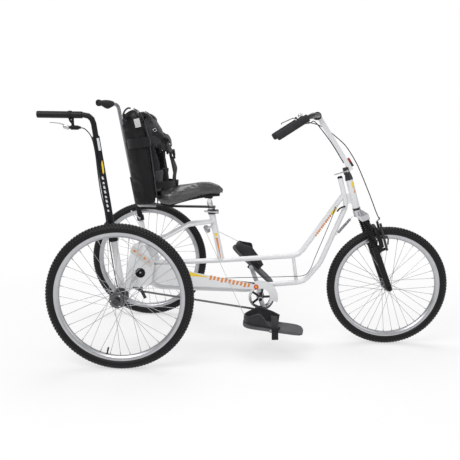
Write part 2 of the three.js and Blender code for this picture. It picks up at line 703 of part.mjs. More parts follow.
function mainFrame() {
  const upper = upperTubePath();
  const lower = lowerTubePath();
  const shell = vec(bracketShell.distance, 0, bracketShell.rise);
  const lowerAtShell = pointOnPath(lower, bracketShell.distance);
  const strutTop = pointOnPath(upper, strut.upper);
  const strutBottom = pointOnPath(lower, strut.lower);
  const half = bracketShell.halfWidth;
  const saddleLug = alongSeat(-seatCollar.height);
  const ear = saddleLug.clone().addScaledVector(seatAxis, seatCollar.height / 2);
  const body = join(
    tube(upper, frameTube.radius),
    tube(lower, frameTube.radius),
    rod(strutTop, strutBottom, strut.radius, smallFacets),
    ...pulleyPin(),
    rod(seatFoot, seatTop, seatTube.radius),
    rod(saddleLug, seatTop, seatCollar.radius),
    block(seatCollar.radius + seatCollar.earReach, seatCollar.earThickness,
      seatCollar.height * collarEarShare,
      ear.x + (seatCollar.radius + seatCollar.earReach) / 2, 0, ear.z),
    rod(vec(shell.x, -half, shell.z), vec(shell.x, half, shell.z), bracketShell.radius),
    block(bracketShell.post, bracketShell.post, lowerAtShell.z - shell.z - bracketShell.bore,
      shell.x, 0, (lowerAtShell.z + shell.z + bracketShell.bore) / 2),
  );
  const seatBore = rod(alongSeat(-seatTube.boreDepth), alongSeat(cutOverrun), seatTube.bore);
  const shellBore = rod(vec(shell.x, -half - cutOverrun, shell.z), vec(shell.x, half + cutOverrun, shell.z),
    bracketShell.bore);
  const tie = rod(vec(tieTube.distance, -rearPlate.offset, tieTube.rise),
    vec(tieTube.distance, rearPlate.offset, tieTube.rise),
    tieTube.radius + seatGap);
  const plateSide = block(2 * lowerTube.stay, rearPlate.offset, 2 * lowerTube.stay, lowerTube.rear,
    -rearPlate.offset - rearPlate.offset / 2 + rearPlate.thickness / 2 + seatGap, lowerTube.rearRise);
  const capSeat = rod(stubTop, stubTop.clone().addScaledVector(headAxis, cutOverrun), endCap.radius);
  const capBore = rod(stubTop.clone().addScaledVector(headAxis, -endCap.plugDepth - seatGap),
    stubTop.clone().addScaledVector(headAxis, cutOverrun), endCap.plugRadius + seatGap);
  const trimmed = cut(body, seatBore, shellBore, tie, plateSide, capSeat, capBore);
  return trimmed;
}

function stubCap() {
  const plug = stubTop.clone().addScaledVector(headAxis, -endCap.plugDepth);
  return turned([
    [0, 0], [endCap.plugRadius, 0], [endCap.plugRadius, endCap.plugDepth + seatGap],
    [endCap.radius, endCap.plugDepth + seatGap],
    [endCap.radius * capDomeShare, endCap.plugDepth + endCap.height],
    [0, endCap.plugDepth + endCap.height],
  ], plug, stubTop);
}

// The head tube with its two webs, which stop just short of the stub behind it.
function headTubeShape() {
  const top = headLine(headTube.topRise);
  const bottom = headLine(headTube.bottomRise);
  const length = top.distanceTo(bottom);
  const webFoot = bottom.clone().addScaledVector(headAxis, headTube.webInset);
  const webHead = bottom.clone().addScaledVector(headAxis, length * headWebShare);
  const backward = stubTop.x - headTube.top;
  const corners = [
    [webFoot.x, webFoot.z], [webHead.x, webHead.z], [webHead.x + backward, webHead.z],
    [webFoot.x + backward, webFoot.z],
  ];
  const web = plate(new THREE.Shape(corners.map(([x, z]) => new THREE.Vector2(x, z))), headTube.web, 0);
  const body = join(rod(bottom, top, headTube.radius), web);
  const bore = rod(belowHead(cutOverrun), alongHead(cutOverrun), headTube.bore);
  const clearTubes = [tube(lowerTubePath(), frameTube.radius + seatGap),
    tube(upperTubePath(), frameTube.radius + seatGap)];
  return keepLargest(cut(body, bore, ...clearTubes));
}

function keepLargest(geometry) {
  const pieces = toSolid(geometry).decompose();
  const largest = pieces.reduce((best, piece) => (piece.volume() > best.volume() ? piece : best));
  return toGeometry(largest);
}

function handleFoot(side) {
  return vec(side < 0 ? socket.foot : socket.footLeft, side * socket.offset, 0);
}

function onHandle(side, rise) {
  const lean = side < 0 ? pushRight.leanAngle : pushLeft.leanAngle;
  return handleFoot(side).add(vec(-rise * Math.tan(radians(lean)), 0, rise));
}

function rearPlateShape(side) {
  const points = rearPlateShares.map(([x, z]) => [x * crossTube.rise, z * crossTube.rise]);
  return plate(roundedShape(points, rearPlate.bossRadius * plateCornerShare), rearPlate.thickness,
    side * rearPlate.offset);
}

function rearFrame() {
  const pieces = [];
  [-1, 1].forEach((side) => {
    const inner = side * (rearPlate.offset - rearPlate.thickness / 2);
    pieces.push(rearPlateShape(side));
    pieces.push(rod(vec(0, inner, 0), vec(0, side * housing.outer, 0), housing.radius));
    pieces.push(rod(onHandle(side, 0), onHandle(side, socket.rise), socket.radius));
    pieces.push(tube(roundedPath([
      vec(stay.front, side * stay.frontOffset, stay.frontRise),
      vec(stay.bend, side * stay.bendOffset, stay.bendRise),
      vec(stay.rear, side * stay.rearOffset, stay.rearRise),
      vec(crossTube.distance, side * rearPlate.offset, crossTube.rise),
    ], stay.bendRadius), stay.radius, smallFacets));
  });
  const reach = rearPlate.offset + crossTube.reach;
  pieces.push(rod(vec(crossTube.distance, -reach, crossTube.rise),
    vec(crossTube.distance, reach, crossTube.rise), crossTube.radius));
  pieces.push(rod(vec(tieTube.distance, -rearPlate.offset, tieTube.rise),
    vec(tieTube.distance, rearPlate.offset, tieTube.rise),
    tieTube.radius));
  const body = join(...pieces);
  const bore = rod(vec(0, -track, 0), vec(0, track, 0), housing.bore);
  const windowEnd = rearPlate.offset + cutOverrun;
  const window = rod(vec(rearPlate.window, -windowEnd, rearPlate.window),
    vec(rearPlate.window, 0, rearPlate.window),
    rearPlate.windowRadius, tubeFacets);
  const seatClear = rod(seatFoot, alongSeat(cutOverrun), seatTube.radius + seatGap);
  return cut(body, bore, window, seatClear);
}

// Drive

// The convex outline round circles [x, z, radius], each grown by the same margin.
function hullOutline(circles, margin) {
  const points = circles.flatMap(([x, z, radius]) => (
    circle(around(radius, margin, hullFacets),
      hullFacets).map(([a, b]) => new THREE.Vector2(x + a, z + b))));
  points.sort((a, b) => a.x - b.x || a.y - b.y);
  const turn = (a, b, c) => b.clone().sub(a).cross(c.clone().sub(a));
  const half = (list) => {
    const chainPoints = [];
    list.forEach((point) => {
      while (chainPoints.length > 1 && turn(chainPoints.at(-2), chainPoints.at(-1), point) <= 0) {
        chainPoints.pop();
      }
      chainPoints.push(point);
    });
    return chainPoints.slice(0, -1);
  };
  return [...half(points), ...half([...points].reverse())];
}

function chainShape() {
  const wheels = [
    [0, 0, sprocket.radius],
    [tensioner.jockey, tensioner.jockeyRise, tensioner.jockeyRadius],
    [bracketShell.distance, bracketShell.rise, chainring.radius],
  ];
  const shape = new THREE.Shape(hullOutline(wheels, slideGap + chain.height));
  shape.holes.push(new THREE.Path(hullOutline(wheels, slideGap)));
  return plate(shape, chain.width, chainPlane);
}

function toothedShape(radius, depth, teeth) {
  const points = Array.from({ length: teeth * 2 }, (_, k) => {
    const angle = (Math.PI * k) / teeth;
    const reach = k % 2 === 0 ? radius : radius - depth;
    return new THREE.Vector2(reach * Math.cos(angle), reach * Math.sin(angle));
  });
  return new THREE.Shape(points);
}

function sprocketShape() {
  const toothed = plate(toothedShape(sprocket.radius, sprocket.toothDepth, sprocket.teeth),
    chainring.thickness, chainPlane);
  const half = sprocket.thickness / 2;
  const carrier = rod(vec(0, chainPlane - half, 0), vec(0, chainPlane + half, 0),
    sprocket.rimRadius * carrierShare, tubeFacets);
  const bore = rod(vec(0, chainPlane - half - cutOverrun, 0), vec(0, chainPlane + half + cutOverrun, 0),
    axle.radius + slideGap);
  return cut(join(toothed, carrier), bore);
}

function tensionerShape() {
  const plane = chainPlane - tensioner.offset - tensioner.thickness / 2;
  const path = roundedPath([
    vec(tensioner.pivot, plane, tensioner.pivotRise),
    vec(tensioner.jockey, plane, tensioner.jockeyRise),
    vec(tensioner.tip, plane, tensioner.tipRise),
  ], tensioner.armWidth);
  const arm = strip(path, tensioner.thickness, tensioner.armWidth);
  const hub = vec(tensioner.jockey, plane, tensioner.jockeyRise);
  const jockey = rod(vec(hub.x, chainPlane + chain.width / 2, hub.z),
    vec(hub.x, chainPlane - chain.width / 2, hub.z),
    tensioner.jockeyRadius, smallFacets);
  const pin = rod(vec(hub.x, chainPlane, hub.z), hub, tensioner.jockeyRadius / 2, smallFacets);
  const plateFace = -rearPlate.offset + rearPlate.thickness / 2 + seatGap;
  const pivot = rod(vec(tensioner.pivot, plateFace, tensioner.pivotRise),
    vec(tensioner.pivot, plane, tensioner.pivotRise),
    tensioner.armWidth / 2, smallFacets);
  return join(arm, jockey, pin, pivot);
}

function guardShape() {
  const centre = [bracketShell.distance, bracketShell.rise];
  const nose = bracketShell.distance - guard.noseReach;
  const outline = roundedShape([
    [guard.rear, guard.rearLow], [guard.rear, guard.rearTop], [guard.shoulder, guard.top],
    [guard.drop, guard.dropRise],
    [nose, guard.noseTop], [nose + guard.corner, guard.noseTop - guard.corner],
    [nose, guard.noseBottom], [guard.frontBottom, guard.bottom], [guard.rearBottom, guard.bottom],
  ], guard.corner);
  const cover = new THREE.Shape();
  cover.absarc(...centre, guard.coverRadius, radians(coverStartAngle), radians(coverEndAngle), false);
  cover.absarc(...centre, guard.coverInner, radians(coverEndAngle), radians(coverStartAngle), true);
  cover.closePath();
  const body = join(plate(outline, guard.thickness, guard.offset),
    plate(cover, guard.thickness, guard.offset));
  const clearance = rod(vec(0, guard.offset - cutOverrun, 0), vec(0, guard.offset + cutOverrun, 0),
    axle.radius + axle.capRadius);
  const lugRise = guard.bottom - guard.corner * lugDropShare;
  const lugs = guardLugShares.map((share) => {
    const forward = guard.rearBottom + share * (nose - guard.rearBottom);
    return tube(roundedPath([
      vec(forward, guard.offset, lugRise),
      vec(forward, 0, lugRise),
      vec(forward, 0, lowerTube.bracketRise),
    ], frameTube.radius), guard.lugRadius, smallFacets);
  });
  const clearTube = tube(lowerTubePath(), frameTube.radius + seatGap);
  const tieNotch = rod(vec(tieTube.distance, guard.offset - cutOverrun, tieTube.rise),
    vec(tieTube.distance, guard.offset + cutOverrun, tieTube.rise), around(tieTube.radius));
  return keepLargest(cut(join(body, ...lugs), clearance, clearTube, tieNotch));
}

const crankGroup = new THREE.Group();
crankGroup.position.set(bracketShell.distance, 0, bracketShell.rise);
crankGroup.rotation.y = -radians(crank.angle);
onAxle.add(crankGroup);

const plateTop = foot.thickness - foot.drop;
const footOffset = crank.offset + crank.thickness / 2 + foot.clearance + foot.width / 2;

function crankArm(side) {
  const reach = -side * crank.length;
  const outline = new THREE.Shape();
  const turnSign = Math.sign(reach);
  outline.absarc(0, 0, crank.width / 2, Math.PI / 2, (3 * Math.PI) / 2, turnSign < 0);
  outline.absarc(reach, 0, crank.endWidth / 2, -Math.PI / 2, Math.PI / 2, turnSign < 0);
  outline.closePath();
  const inner = crank.offset - crank.thickness / 2;
  const arm = plate(outline, crank.thickness, side * crank.offset);
  const pedal = rod(vec(reach, side * inner, 0),
    vec(reach, side * (footOffset + foot.bearingLength / 2), 0), crank.pedalRadius, smallFacets);
  return join(arm, pedal);
}

function rightCrank() {
  const bore = rod(vec(0, -track, 0), vec(0, track, 0), crank.axleRadius + seatGap, smallFacets + 2);
  return cut(crankArm(-1), bore);
}

function leftCrank() {
  const end = crank.offset + crank.thickness / 2;
  return join(crankArm(1), rod(vec(0, -end, 0), vec(0, end - weldOverlap, 0), crank.axleRadius,
    smallFacets + 2));
}

function chainringShape() {
  const toothed = toothedShape(chainring.radius, chainring.toothDepth, chainring.teeth);
  const opening = new THREE.Path();
  opening.absarc(0, 0, chainring.radius - chainring.toothDepth - chainring.ringWidth, 0, 2 * Math.PI, true);
  toothed.holes.push(opening);
  const ring = plate(toothed, chainring.thickness, chainPlane);
  const reach = chainring.radius - chainring.toothDepth - chainring.ringWidth / 2;
  const arms = Array.from({ length: chainringArms }, (_, k) => {
    const arm = block(reach, chainring.thickness, chainring.armWidth, reach / 2, chainPlane, 0);
    arm.rotateY((2 * Math.PI * k) / chainringArms);
    return arm;
  });
  const inner = crank.offset - crank.thickness / 2 - seatGap;
  const boss = rod(vec(0, chainPlane + chainring.thickness / 2, 0), vec(0, -inner, 0),
    crank.bossRadius, smallFacets + 2);
  const bore = rod(vec(0, -track, 0), vec(0, track, 0), crank.axleRadius + seatGap, smallFacets + 2);
  return cut(join(ring, boss, ...arms), bore);
}

// Foot supports

function footPlate(side) {
  const y = side * footOffset;
  const back = -foot.behindPedal;
  const front = back + foot.length;
  const half = foot.width / 2;
  const outline = roundedShape([
    [back, y - half], [front, y - half], [front, y + half], [back, y + half],
  ], half * footRoundShare);
  const bearing = rod(vec(0, y - foot.bearingLength / 2, 0), vec(0, y + foot.bearingLength / 2, 0),
    plateTop);
  const bore = rod(vec(0, y - foot.width, 0), vec(0, y + foot.width, 0),
    around(crank.pedalRadius, slideGap, smallFacets), smallFacets);
  return cut(join(slab(outline, foot.thickness, -foot.drop), bearing), bore);
}

function footCup(side) {
  const y = side * footOffset;
  const heel = -foot.behindPedal + cup.inset;
  const front = heel + cup.length;
  const half = foot.width / 2 - cup.inset;
  const floor = plateTop + seatGap;
  const rings = cupShares.map(([forward, across, rise]) => {
    const x = heel + forward * cup.length;
    const outward = new THREE.Vector2(forward - cupMiddleShare, across).normalize();
    const lean = new THREE.Vector2(Math.min(outward.x, 0), outward.y).normalize();
    const top = floor + rise * cup.ankleHeight;
    const wallY = y + across * half;
    return [
      vec(x, wallY, floor),
      vec(x + lean.x * cup.flare, wallY + lean.y * cup.flare, top),
      vec(x + lean.x * (cup.flare - cup.wall), wallY + lean.y * (cup.flare - cup.wall), top),
      vec(x - lean.x * cup.wall, wallY - lean.y * cup.wall, floor),
    ];
  });
  const wall = loft(rings);
  const floorOutline = new THREE.Shape(cupShares.map(([forward, across]) => (
    new THREE.Vector2(heel + forward * cup.length, y + across * half))));
  const strapX = front - cup.strapWidth / 2 - cup.wall;
  const wallHalf = half + cup.flare / 2;
  const arch = strapShares.map(([across, rise]) => (
    vec(strapX, y + across * wallHalf, floor + rise * (cup.frontHeight + cup.strapRise))));
  const strap = strip(arch, cup.strapWidth, cup.strapThickness, vec(1, 0, 0));
  const edge = foot.width / 2 + cup.strapThickness;
  const tail = strip([
    vec(strapX, y + side * (wallHalf - cup.wall), floor + cup.frontHeight * tailStartShare),
    vec(strapX, y + side * edge, floor + cup.frontHeight * tailBendShare),
    vec(strapX, y + side * (edge + cup.strapThickness), -cup.tailLength),
  ], cup.strapWidth * tailWidthShare, cup.strapThickness, vec(1, 0, 0));
  return join(wall, slab(floorOutline, cup.wall, floor), strap, tail);
}

function pedalPoint(side) {
  const angle = radians(crank.angle);
  const reach = -side * crank.length;
  return vec(bracketShell.distance + reach * Math.cos(angle), 0,
    bracketShell.rise + reach * Math.sin(angle));
}

function addFoot(name, side, tilt) {
  const group = new THREE.Group();
  group.position.set(-side * crank.length, 0, 0);
  group.rotation.y = radians(tilt + crank.angle);
  crankGroup.add(group);
  addPiece(`foot_plate_${name}`, footPlate(side), greyPlastic, group);
  addPiece(`foot_cup_${name}`, footCup(side), blackPlastic, group);
}

// Where the levelling cord is tied to the back of a cup.
function heelPoint(side, tilt) {
  const angle = radians(tilt);
  const x = -foot.behindPedal + cup.inset - cup.flare - cord.radius - seatGap;
  const z = plateTop + cup.ankleHeight * cordTieShare;
  const pedal = pedalPoint(side);
  return vec(pedal.x + x * Math.cos(angle) + z * Math.sin(angle), side * footOffset,
    pedal.z - x * Math.sin(angle) + z * Math.cos(angle));
}

const pulleyCentre = vec(pulley.distance, 0, pulley.rise);
const heelRight = heelPoint(-1, foot.nearTiltAngle);
const heelLeft = heelPoint(1, foot.farTiltAngle);
const pulleyAxis = heelRight.clone().sub(pulleyCentre).cross(heelLeft.clone().sub(pulleyCentre)).normalize();

function pulleyShape() {
  const half = pulley.width / 2;
  const bore = pulley.bore + slideGap;
  const profile = [
    [bore, -half], [pulley.radius, -half], [pulley.radius, -half + pulley.groove / 2],
    [pulley.radius - pulley.groove, 0], [pulley.radius, half - pulley.groove / 2], [pulley.radius, half],
    [bore, half], [bore, -half],
  ];
  return turned(profile, pulleyCentre, pulleyCentre.clone().add(pulleyAxis), tubeFacets);
}

function pulleyPin() {
  const inner = pulleyCentre.clone().addScaledVector(pulleyAxis, -pulley.width);
  const outer = pulleyCentre.clone().addScaledVector(pulleyAxis, pulley.armReach + pulley.width);
  const shoulder = pulleyCentre.clone().addScaledVector(pulleyAxis, pulley.width / 2 + slideGap);
  const collarStart = pulleyCentre.clone().addScaledVector(pulleyAxis, -pulley.width / 2 - slideGap);
  const onTube = seatFoot.clone().addScaledVector(seatAxis, (outer.z - seatFoot.z) / seatAxis.z);
  return [
    rod(outer, onTube, pulley.armWidth / 2, smallFacets),
    rod(inner, outer, pulley.bore, smallFacets),
    rod(shoulder, outer, pulley.armWidth / 2, smallFacets),
    rod(inner, collarStart, pulley.armWidth / 2, smallFacets),
  ];
}

// The levelling cord runs from one heel over the pulley to the other.
function levellingCord() {
  const radius = pulley.radius - pulley.groove / 2 + cord.radius;
  const towardRight = heelRight.clone().sub(pulleyCentre);
  const towardLeft = heelLeft.clone().sub(pulleyCentre);
  const across = towardRight.clone().normalize();
  const over = pulleyAxis.clone().cross(across).normalize();
  const leftAngle = Math.atan2(towardLeft.dot(over), towardLeft.dot(across));
  const startAngle = -Math.acos(radius / towardRight.length());
  const endAngle = leftAngle + Math.acos(radius / towardLeft.length()) - 2 * Math.PI;
  const arc = Array.from({ length: cordArcSteps + 1 }, (_, k) => {
    const angle = startAngle + ((endAngle - startAngle) * k) / cordArcSteps;
    return pulleyCentre.clone().addScaledVector(across,
      radius * Math.cos(angle)).addScaledVector(over, radius * Math.sin(angle));
  });
  return tube([heelRight, ...arc, heelLeft], cord.radius, cord.sides);
}

// Seat

// A clamp's lever: a barrel whose axis the lever turns about, and an arm from it to the tip.
function camLever(pivot, axis, halfHeight, barrelRadius, tip, armRadius) {
  const foot = pivot.clone().addScaledVector(axis, -halfHeight);
  const head = pivot.clone().addScaledVector(axis, halfHeight);
  return join(rod(foot, head, barrelRadius, smallFacets), tube([pivot, tip], armRadius, smallFacets));
}

function seatPost() {
  const bottom = alongSeat(-post.depth);
  const top = vec(post.top, 0, post.topRise);
  const reach = (post.topRise - seatTop.z) / seatAxis.z;
  const head = alongSeat(reach);
  return join(rod(bottom, head, post.radius),
    rod(vec(head.x, -post.headRadius, top.z), vec(head.x, post.headRadius, top.z),
    post.headHeight / 2, smallFacets));
}

function seatLever() {
  const middleOfCollar = alongSeat(-seatCollar.height / 2);
  const y = -seatCollar.earThickness / 2 - seatGap - quickLever.pivotRadius;
  const pivot = middleOfCollar.clone().add(vec(seatCollar.radius + seatCollar.earReach / 2, y, 0));
  const tip = pivot.clone().add(vec(-quickLever.length, -quickLever.radius * 2, quickLever.radius));
  return camLever(pivot, seatAxis, quickLever.pivotRadius, quickLever.pivotRadius, tip, quickLever.radius);
}

function saddleStation([along, wide, top, bottom]) {
  return {
    x: saddle.rear + along * (saddle.nose - saddle.rear),
    half: (wide * saddle.width) / 2,
    top: saddle.crownRise - (1 - top) * saddle.height,
    bottom: saddle.crownRise - (1 - bottom) * saddle.height,
  };
}

function saddleCushion() {
  const rings = saddleShares.map((row) => {
    const station = saddleStation(row);
    const middleRise = station.bottom + (station.top - station.bottom) * saddleWaistShare;
    return Array.from({ length: saddleFacets }, (_, k) => {
      const angle = (2 * Math.PI * k) / saddleFacets;
      const sine = Math.sin(angle);
      const reach = sine > 0 ? station.top - middleRise : middleRise - station.bottom;
      const fullness = sine > 0 ? 1 : lowerFullnessShare;
      const y = station.half * Math.sign(Math.cos(angle)) * Math.abs(Math.cos(angle)) ** fullness;
      return vec(station.x, y, middleRise + reach * Math.sign(sine) * Math.abs(sine) ** saddleCrownShare);
    });
  });
  return loft(rings);
}

function saddlePan() {
  const rings = saddleShares.slice(1, -1).map((row) => {
    const station = saddleStation(row);
    const half = station.half * panWidthShare;
    const top = station.bottom - seatGap;
    return [
      vec(station.x, half, top), vec(station.x, -half, top),
      vec(station.x, -half, top - pan.thickness), vec(station.x, half, top - pan.thickness),
    ];
  });
  const blockTop = saddle.crownRise - saddle.height * panBlockShare;
  const blockBottom = post.topRise + post.headHeight / 2 + seatGap;
  const mount = block(post.headRadius * 2, post.headRadius * 2, blockTop - blockBottom, post.top, 0,
    (blockTop + blockBottom) / 2);
  return join(loft(rings), mount);
}

// Backrest, in a group that leans back by its recline

const backGroup = new THREE.Group();
backGroup.position.set(back.pivot, 0, back.pivotRise);
backGroup.rotation.y = -radians(back.reclineAngle);
onAxle.add(backGroup);

// Half of a U-shaped outline from the middle of the back to the end of a wing.
function wingLine(halfWidth, depth, corner, inset) {
  const line = [new THREE.Vector2(inset, 0)];
  const radius = Math.max(corner - inset, inset * leastCornerShare);
  const wall = halfWidth - inset;
  for (let k = 0; k <= wingSteps; k += 1) {
    const angle = (Math.PI / 2) * (k / wingSteps);
    line.push(new THREE.Vector2(inset + radius * (1 - Math.cos(angle)),
      wall - radius * (1 - Math.sin(angle))));
  }
  line.push(new THREE.Vector2(depth, wall));
  return line;
}

function backSection(rise, halfWidth, depth, thickness, corner) {
  const outer = wingLine(halfWidth, depth, corner, 0);
  const inner = wingLine(halfWidth, depth, corner, thickness);
  const bulge = new THREE.Vector2(depth + thickness * tipShare, halfWidth - thickness / 2);
  const left = [...outer, bulge, ...inner.reverse()];
  const right = left.slice(1, -1).reverse().map((point) => new THREE.Vector2(point.x, -point.y));
  return [...left, ...right].map((point) => vec(point.x, point.y, rise));
}

function backPad() {
  const rings = backShares.map(([rise, wide, deep, thick]) => backSection(
    rise * back.height, (wide * back.width) / 2, deep * back.depth, thick * back.thickness,
    back.corner * wide));
  return loft(rings);
}

function backBoard() {
  const half = (back.width / 2) - back.corner;
  const front = -seatGap;
  const outline = roundedShape([
    [-half, back.shellRaise], [half, back.shellRaise], [half, back.shellRaise + back.shellHeight],
    [-half, back.shellRaise + back.shellHeight],
  ], back.corner);
  const board = slab(outline, back.shellThickness, 0);
  board.rotateX(Math.PI / 2);
  board.rotateZ(Math.PI / 2);
  board.translate(front - back.shellThickness, 0, 0);
  return board;
}

function backSupport() {
  const lean = radians(back.reclineAngle);
  const away = back.shellThickness + 2 * seatGap + backBar.thickness / 2;
  const backFoot = back.pivot + (back.pivotRise - backBar.rise) * Math.tan(lean);
  const corner = vec(backFoot - away / Math.cos(lean), 0, backBar.rise);
  const top = vec(corner.x - backBar.upright * Math.sin(lean), 0,
    corner.z + backBar.upright * Math.cos(lean));
  const path = roundedPath([vec(backBar.front + backBar.width * 2, 0, backBar.rise), corner, top],
    backBar.clearance);
  const bent = strip(path, backBar.width, backBar.thickness);
  const postHole = rod(alongSeat(-cutOverrun), alongSeat(post.topRise - seatTop.z), post.radius + seatGap);
  const rise = (backBar.rise - seatTop.z) / seatAxis.z;
  const eye = alongSeat(rise);
  const ring = rod(vec(eye.x, 0, eye.z - backBar.thickness / 2),
    vec(eye.x, 0, eye.z + backBar.thickness / 2), backBar.width * eyeShare,
    tubeFacets);
  const headClear = rod(vec(eye.x, -backBar.width, post.topRise),
    vec(eye.x, backBar.width, post.topRise), post.headHeight / 2 + seatGap);
  return keepLargest(cut(join(bent, ring), postHole, headClear));
}

// A band of cloth that follows an arc from one wing round the front to the other.
function frontBand(halfWidth, front, rear, thickness, heights) {
  const rings = heights.map(([across, low, high]) => {
    const angle = across * (Math.PI / 2);
    const x = rear + (front - rear) * Math.cos(angle);
    const y = halfWidth * Math.sin(angle);
    const normal = new THREE.Vector2(Math.cos(angle) / (front - rear),
      Math.sin(angle) / halfWidth).normalize();
    const half = thickness / 2;
    return [
      vec(x + normal.x * half, y + normal.y * half, low),
      vec(x + normal.x * half, y + normal.y * half, high),
      vec(x - normal.x * half, y - normal.y * half, high),
      vec(x - normal.x * half, y - normal.y * half, low),
    ];
  });
  return loft(rings);
}

function chestHarness() {
  const wingInside = back.width / 2 - back.thickness - seatGap;
  const half = wingInside - harness.thickness / 2;
  const rear = back.depth * harnessRearShare;
  const front = rear + harness.front;
  const panel = frontBand(half, front, rear, harness.thickness, harnessShares.map(([across, low, high]) => (
    [across, harness.bottom + low * (harness.top - harness.bottom),
      harness.bottom + high * (harness.top - harness.bottom)])));
  const padFace = back.thickness + seatGap;
  const pieces = [-1, 1].flatMap((side) => {
    const y = side * harness.shoulderOffset;
    const shoulder = strip(roundedPath([
      vec(front - harness.thickness * 2, y, harness.top - harness.thickness * 3),
      vec(front - harness.front / 3, y, harness.shoulderRise),
      vec(padFace + harness.thickness, y, harness.shoulderRise + harness.thickness),
      vec(padFace + harness.thickness / 2, y, harness.top),
    ], harness.shoulderWidth), harness.shoulderWidth, harness.thickness);
    const strapY = side * harness.shoulderOffset * strapOffsetShare;
    const drop = strip([
      vec(front - harness.thickness, strapY, harness.bottom + harness.buckleHeight),
      vec(front - harness.thickness, strapY, belt.rise + (belt.height * beltBuckleShare) / 2 + seatGap),
    ], harness.strapWidth, harness.strapThickness);
    const buckle = block(harness.buckleThickness, harness.buckleWidth * buckleShare, harness.buckleHeight,
      front - harness.thickness, strapY, harness.bottom - harness.buckleHeight / 2);
    return [shoulder, drop, buckle];
  });
  return join(panel, ...pieces);
}

function lapBelt() {
  const wingInside = back.width / 2 - back.thickness - seatGap;
  const half = wingInside - belt.thickness / 2;
  const rear = back.thickness + belt.padLength;
  const front = rear + belt.front - belt.padLength;
  const bottom = belt.rise - belt.height / 2;
  const bandShape = frontBand(half, front, rear, belt.thickness,
    beltShares.map((across) => [across, bottom, bottom + belt.height]));
  const pads = [-1, 1].map((side) => block(belt.padLength, belt.padThickness, belt.padHeight,
    rear + belt.padLength / 2, side * (half - belt.padThickness / 2), belt.rise));
  const buckle = block(belt.padThickness, belt.buckle, belt.height * beltBuckleShare, front, 0, belt.rise);
  return join(bandShape, ...pads, buckle);
}

// Steering

function headsetShape() {
  const bottom = belowHead(headset.bottomHeight + seatGap);
  const length = headLine(headTube.topRise).distanceTo(headLine(headTube.bottomRise));
  const lowTop = headset.bottomHeight;
  const highFoot = headset.bottomHeight + length + 2 * seatGap;
  const bore = around(steerer.radius);
  const sleeve = headTube.bore - seatGap;
  return turned([
    [bore, 0], [headset.bottomRadius * headsetTaperShare, 0], [headset.bottomRadius, lowTop],
    [sleeve, lowTop],
    [sleeve, highFoot], [headset.topRadius, highFoot], [headset.topTip, highFoot + headset.topHeight],
    [bore, highFoot + headset.topHeight], [bore, 0],
  ], bottom, headLine(headTube.topRise));
}

const clampFoot = alongHead(headset.topHeight + 3 * seatGap);
const clampTop = clampFoot.clone().addScaledVector(headAxis, stemClamp.height);
const stemFoot = vec(stem.foot, 0, stem.footRise);
const stemTop = vec(stem.top, 0, stem.topRise);

function stemClampShape() {
  const middlePoint = clampFoot.clone().lerp(clampTop, 1 / 2);
  const body = rod(clampFoot, clampTop, stemClamp.radius, tubeFacets);
  const arm = strip([middlePoint, vec(stemFoot.x, 0, stemFoot.z)], stemClamp.blockWidth,
    stemClamp.blockLength);
  const postClear = strip([stemFoot.clone().sub(stemTop).add(stemFoot), stemTop],
    stem.width + 2 * seatGap, stem.depth + 2 * seatGap);
  const bore = rod(clampFoot.clone().addScaledVector(headAxis, -cutOverrun),
    clampFoot.clone().addScaledVector(headAxis, stemClamp.height / 4 + seatGap), around(steerer.radius));
  return keepLargest(cut(join(body, arm), postClear, bore));
}

function stemPost() {
  return strip([stemFoot, stemTop], stem.width, stem.depth);
}

function stemLeverShape() {
  const pivot = clampFoot.clone().lerp(clampTop, leverRiseShare);
  pivot.setY(-flatRadius(stemClamp.radius) - seatGap - stemLever.pivotRadius);
  const tip = pivot.clone().add(vec(-stemLever.length, -stemLever.radius,
    -stemLever.length * leverDropShare));
  return camLever(pivot, headAxis, stemLever.pivotRadius, stemLever.pivotRadius, tip, stemLever.radius);
}

function barPath() {
  const right = [
    vec(bar.gripEnd, -bar.gripEndOffset, bar.gripEndRise),
    vec(bar.gripStart, -bar.gripOffset, bar.gripStartRise),
    vec(bar.clampForward, -bar.straight, bar.rise),
  ];
  const left = right.map((point) => vec(point.x, -point.y, point.z)).reverse();
  return roundedPath([...right, ...left], bar.bend);
}

function handlebar() {
  const clampHalf = bar.clampWidth / 2;
  const clamp = rod(vec(bar.clampForward, -clampHalf, bar.rise),
    vec(bar.clampForward, clampHalf, bar.rise), bar.clampRadius);
  const postClear = strip([stemFoot, stemTop.clone().add(stemTop.clone().sub(stemFoot).setLength(seatGap))],
    stem.width + 2 * seatGap, stem.depth + 2 * seatGap);
  const bracketFoot = barCollar.from + barCollar.length - hoodLever.width;
  const collar = rod(hoodPoint(barCollar.from, 0), hoodPoint(barCollar.from + barCollar.length, 0),
    barCollar.radius);
  const bracketTop = hoodLever.pivotLift - hoodLever.bodyRadius - 2 * slideGap;
  const bracket = strip([hoodPoint(bracketFoot, 0), hoodPoint(hoodLever.start, bracketTop)],
    hoodLever.width, hoodLever.bodyRadius);
  return cut(join(tube(barPath(), bar.radius), clamp, collar, bracket), postClear);
}

const gripFrom = vec(bar.gripStart, bar.gripOffset, bar.gripStartRise);
const gripTo = vec(bar.gripEnd, bar.gripEndOffset, bar.gripEndRise);
const gripAxis = gripTo.clone().sub(gripFrom).normalize();
const gripUp = gripAxis.clone().cross(vec(0, 1, 0)).normalize();

// A point beside the left-hand grip, by its distance from the bar's bend and its height over the bar.
function hoodPoint(along, lift) {
  return gripFrom.clone().addScaledVector(gripAxis, along).addScaledVector(gripUp,
    lift * Math.sign(gripUp.z));
}

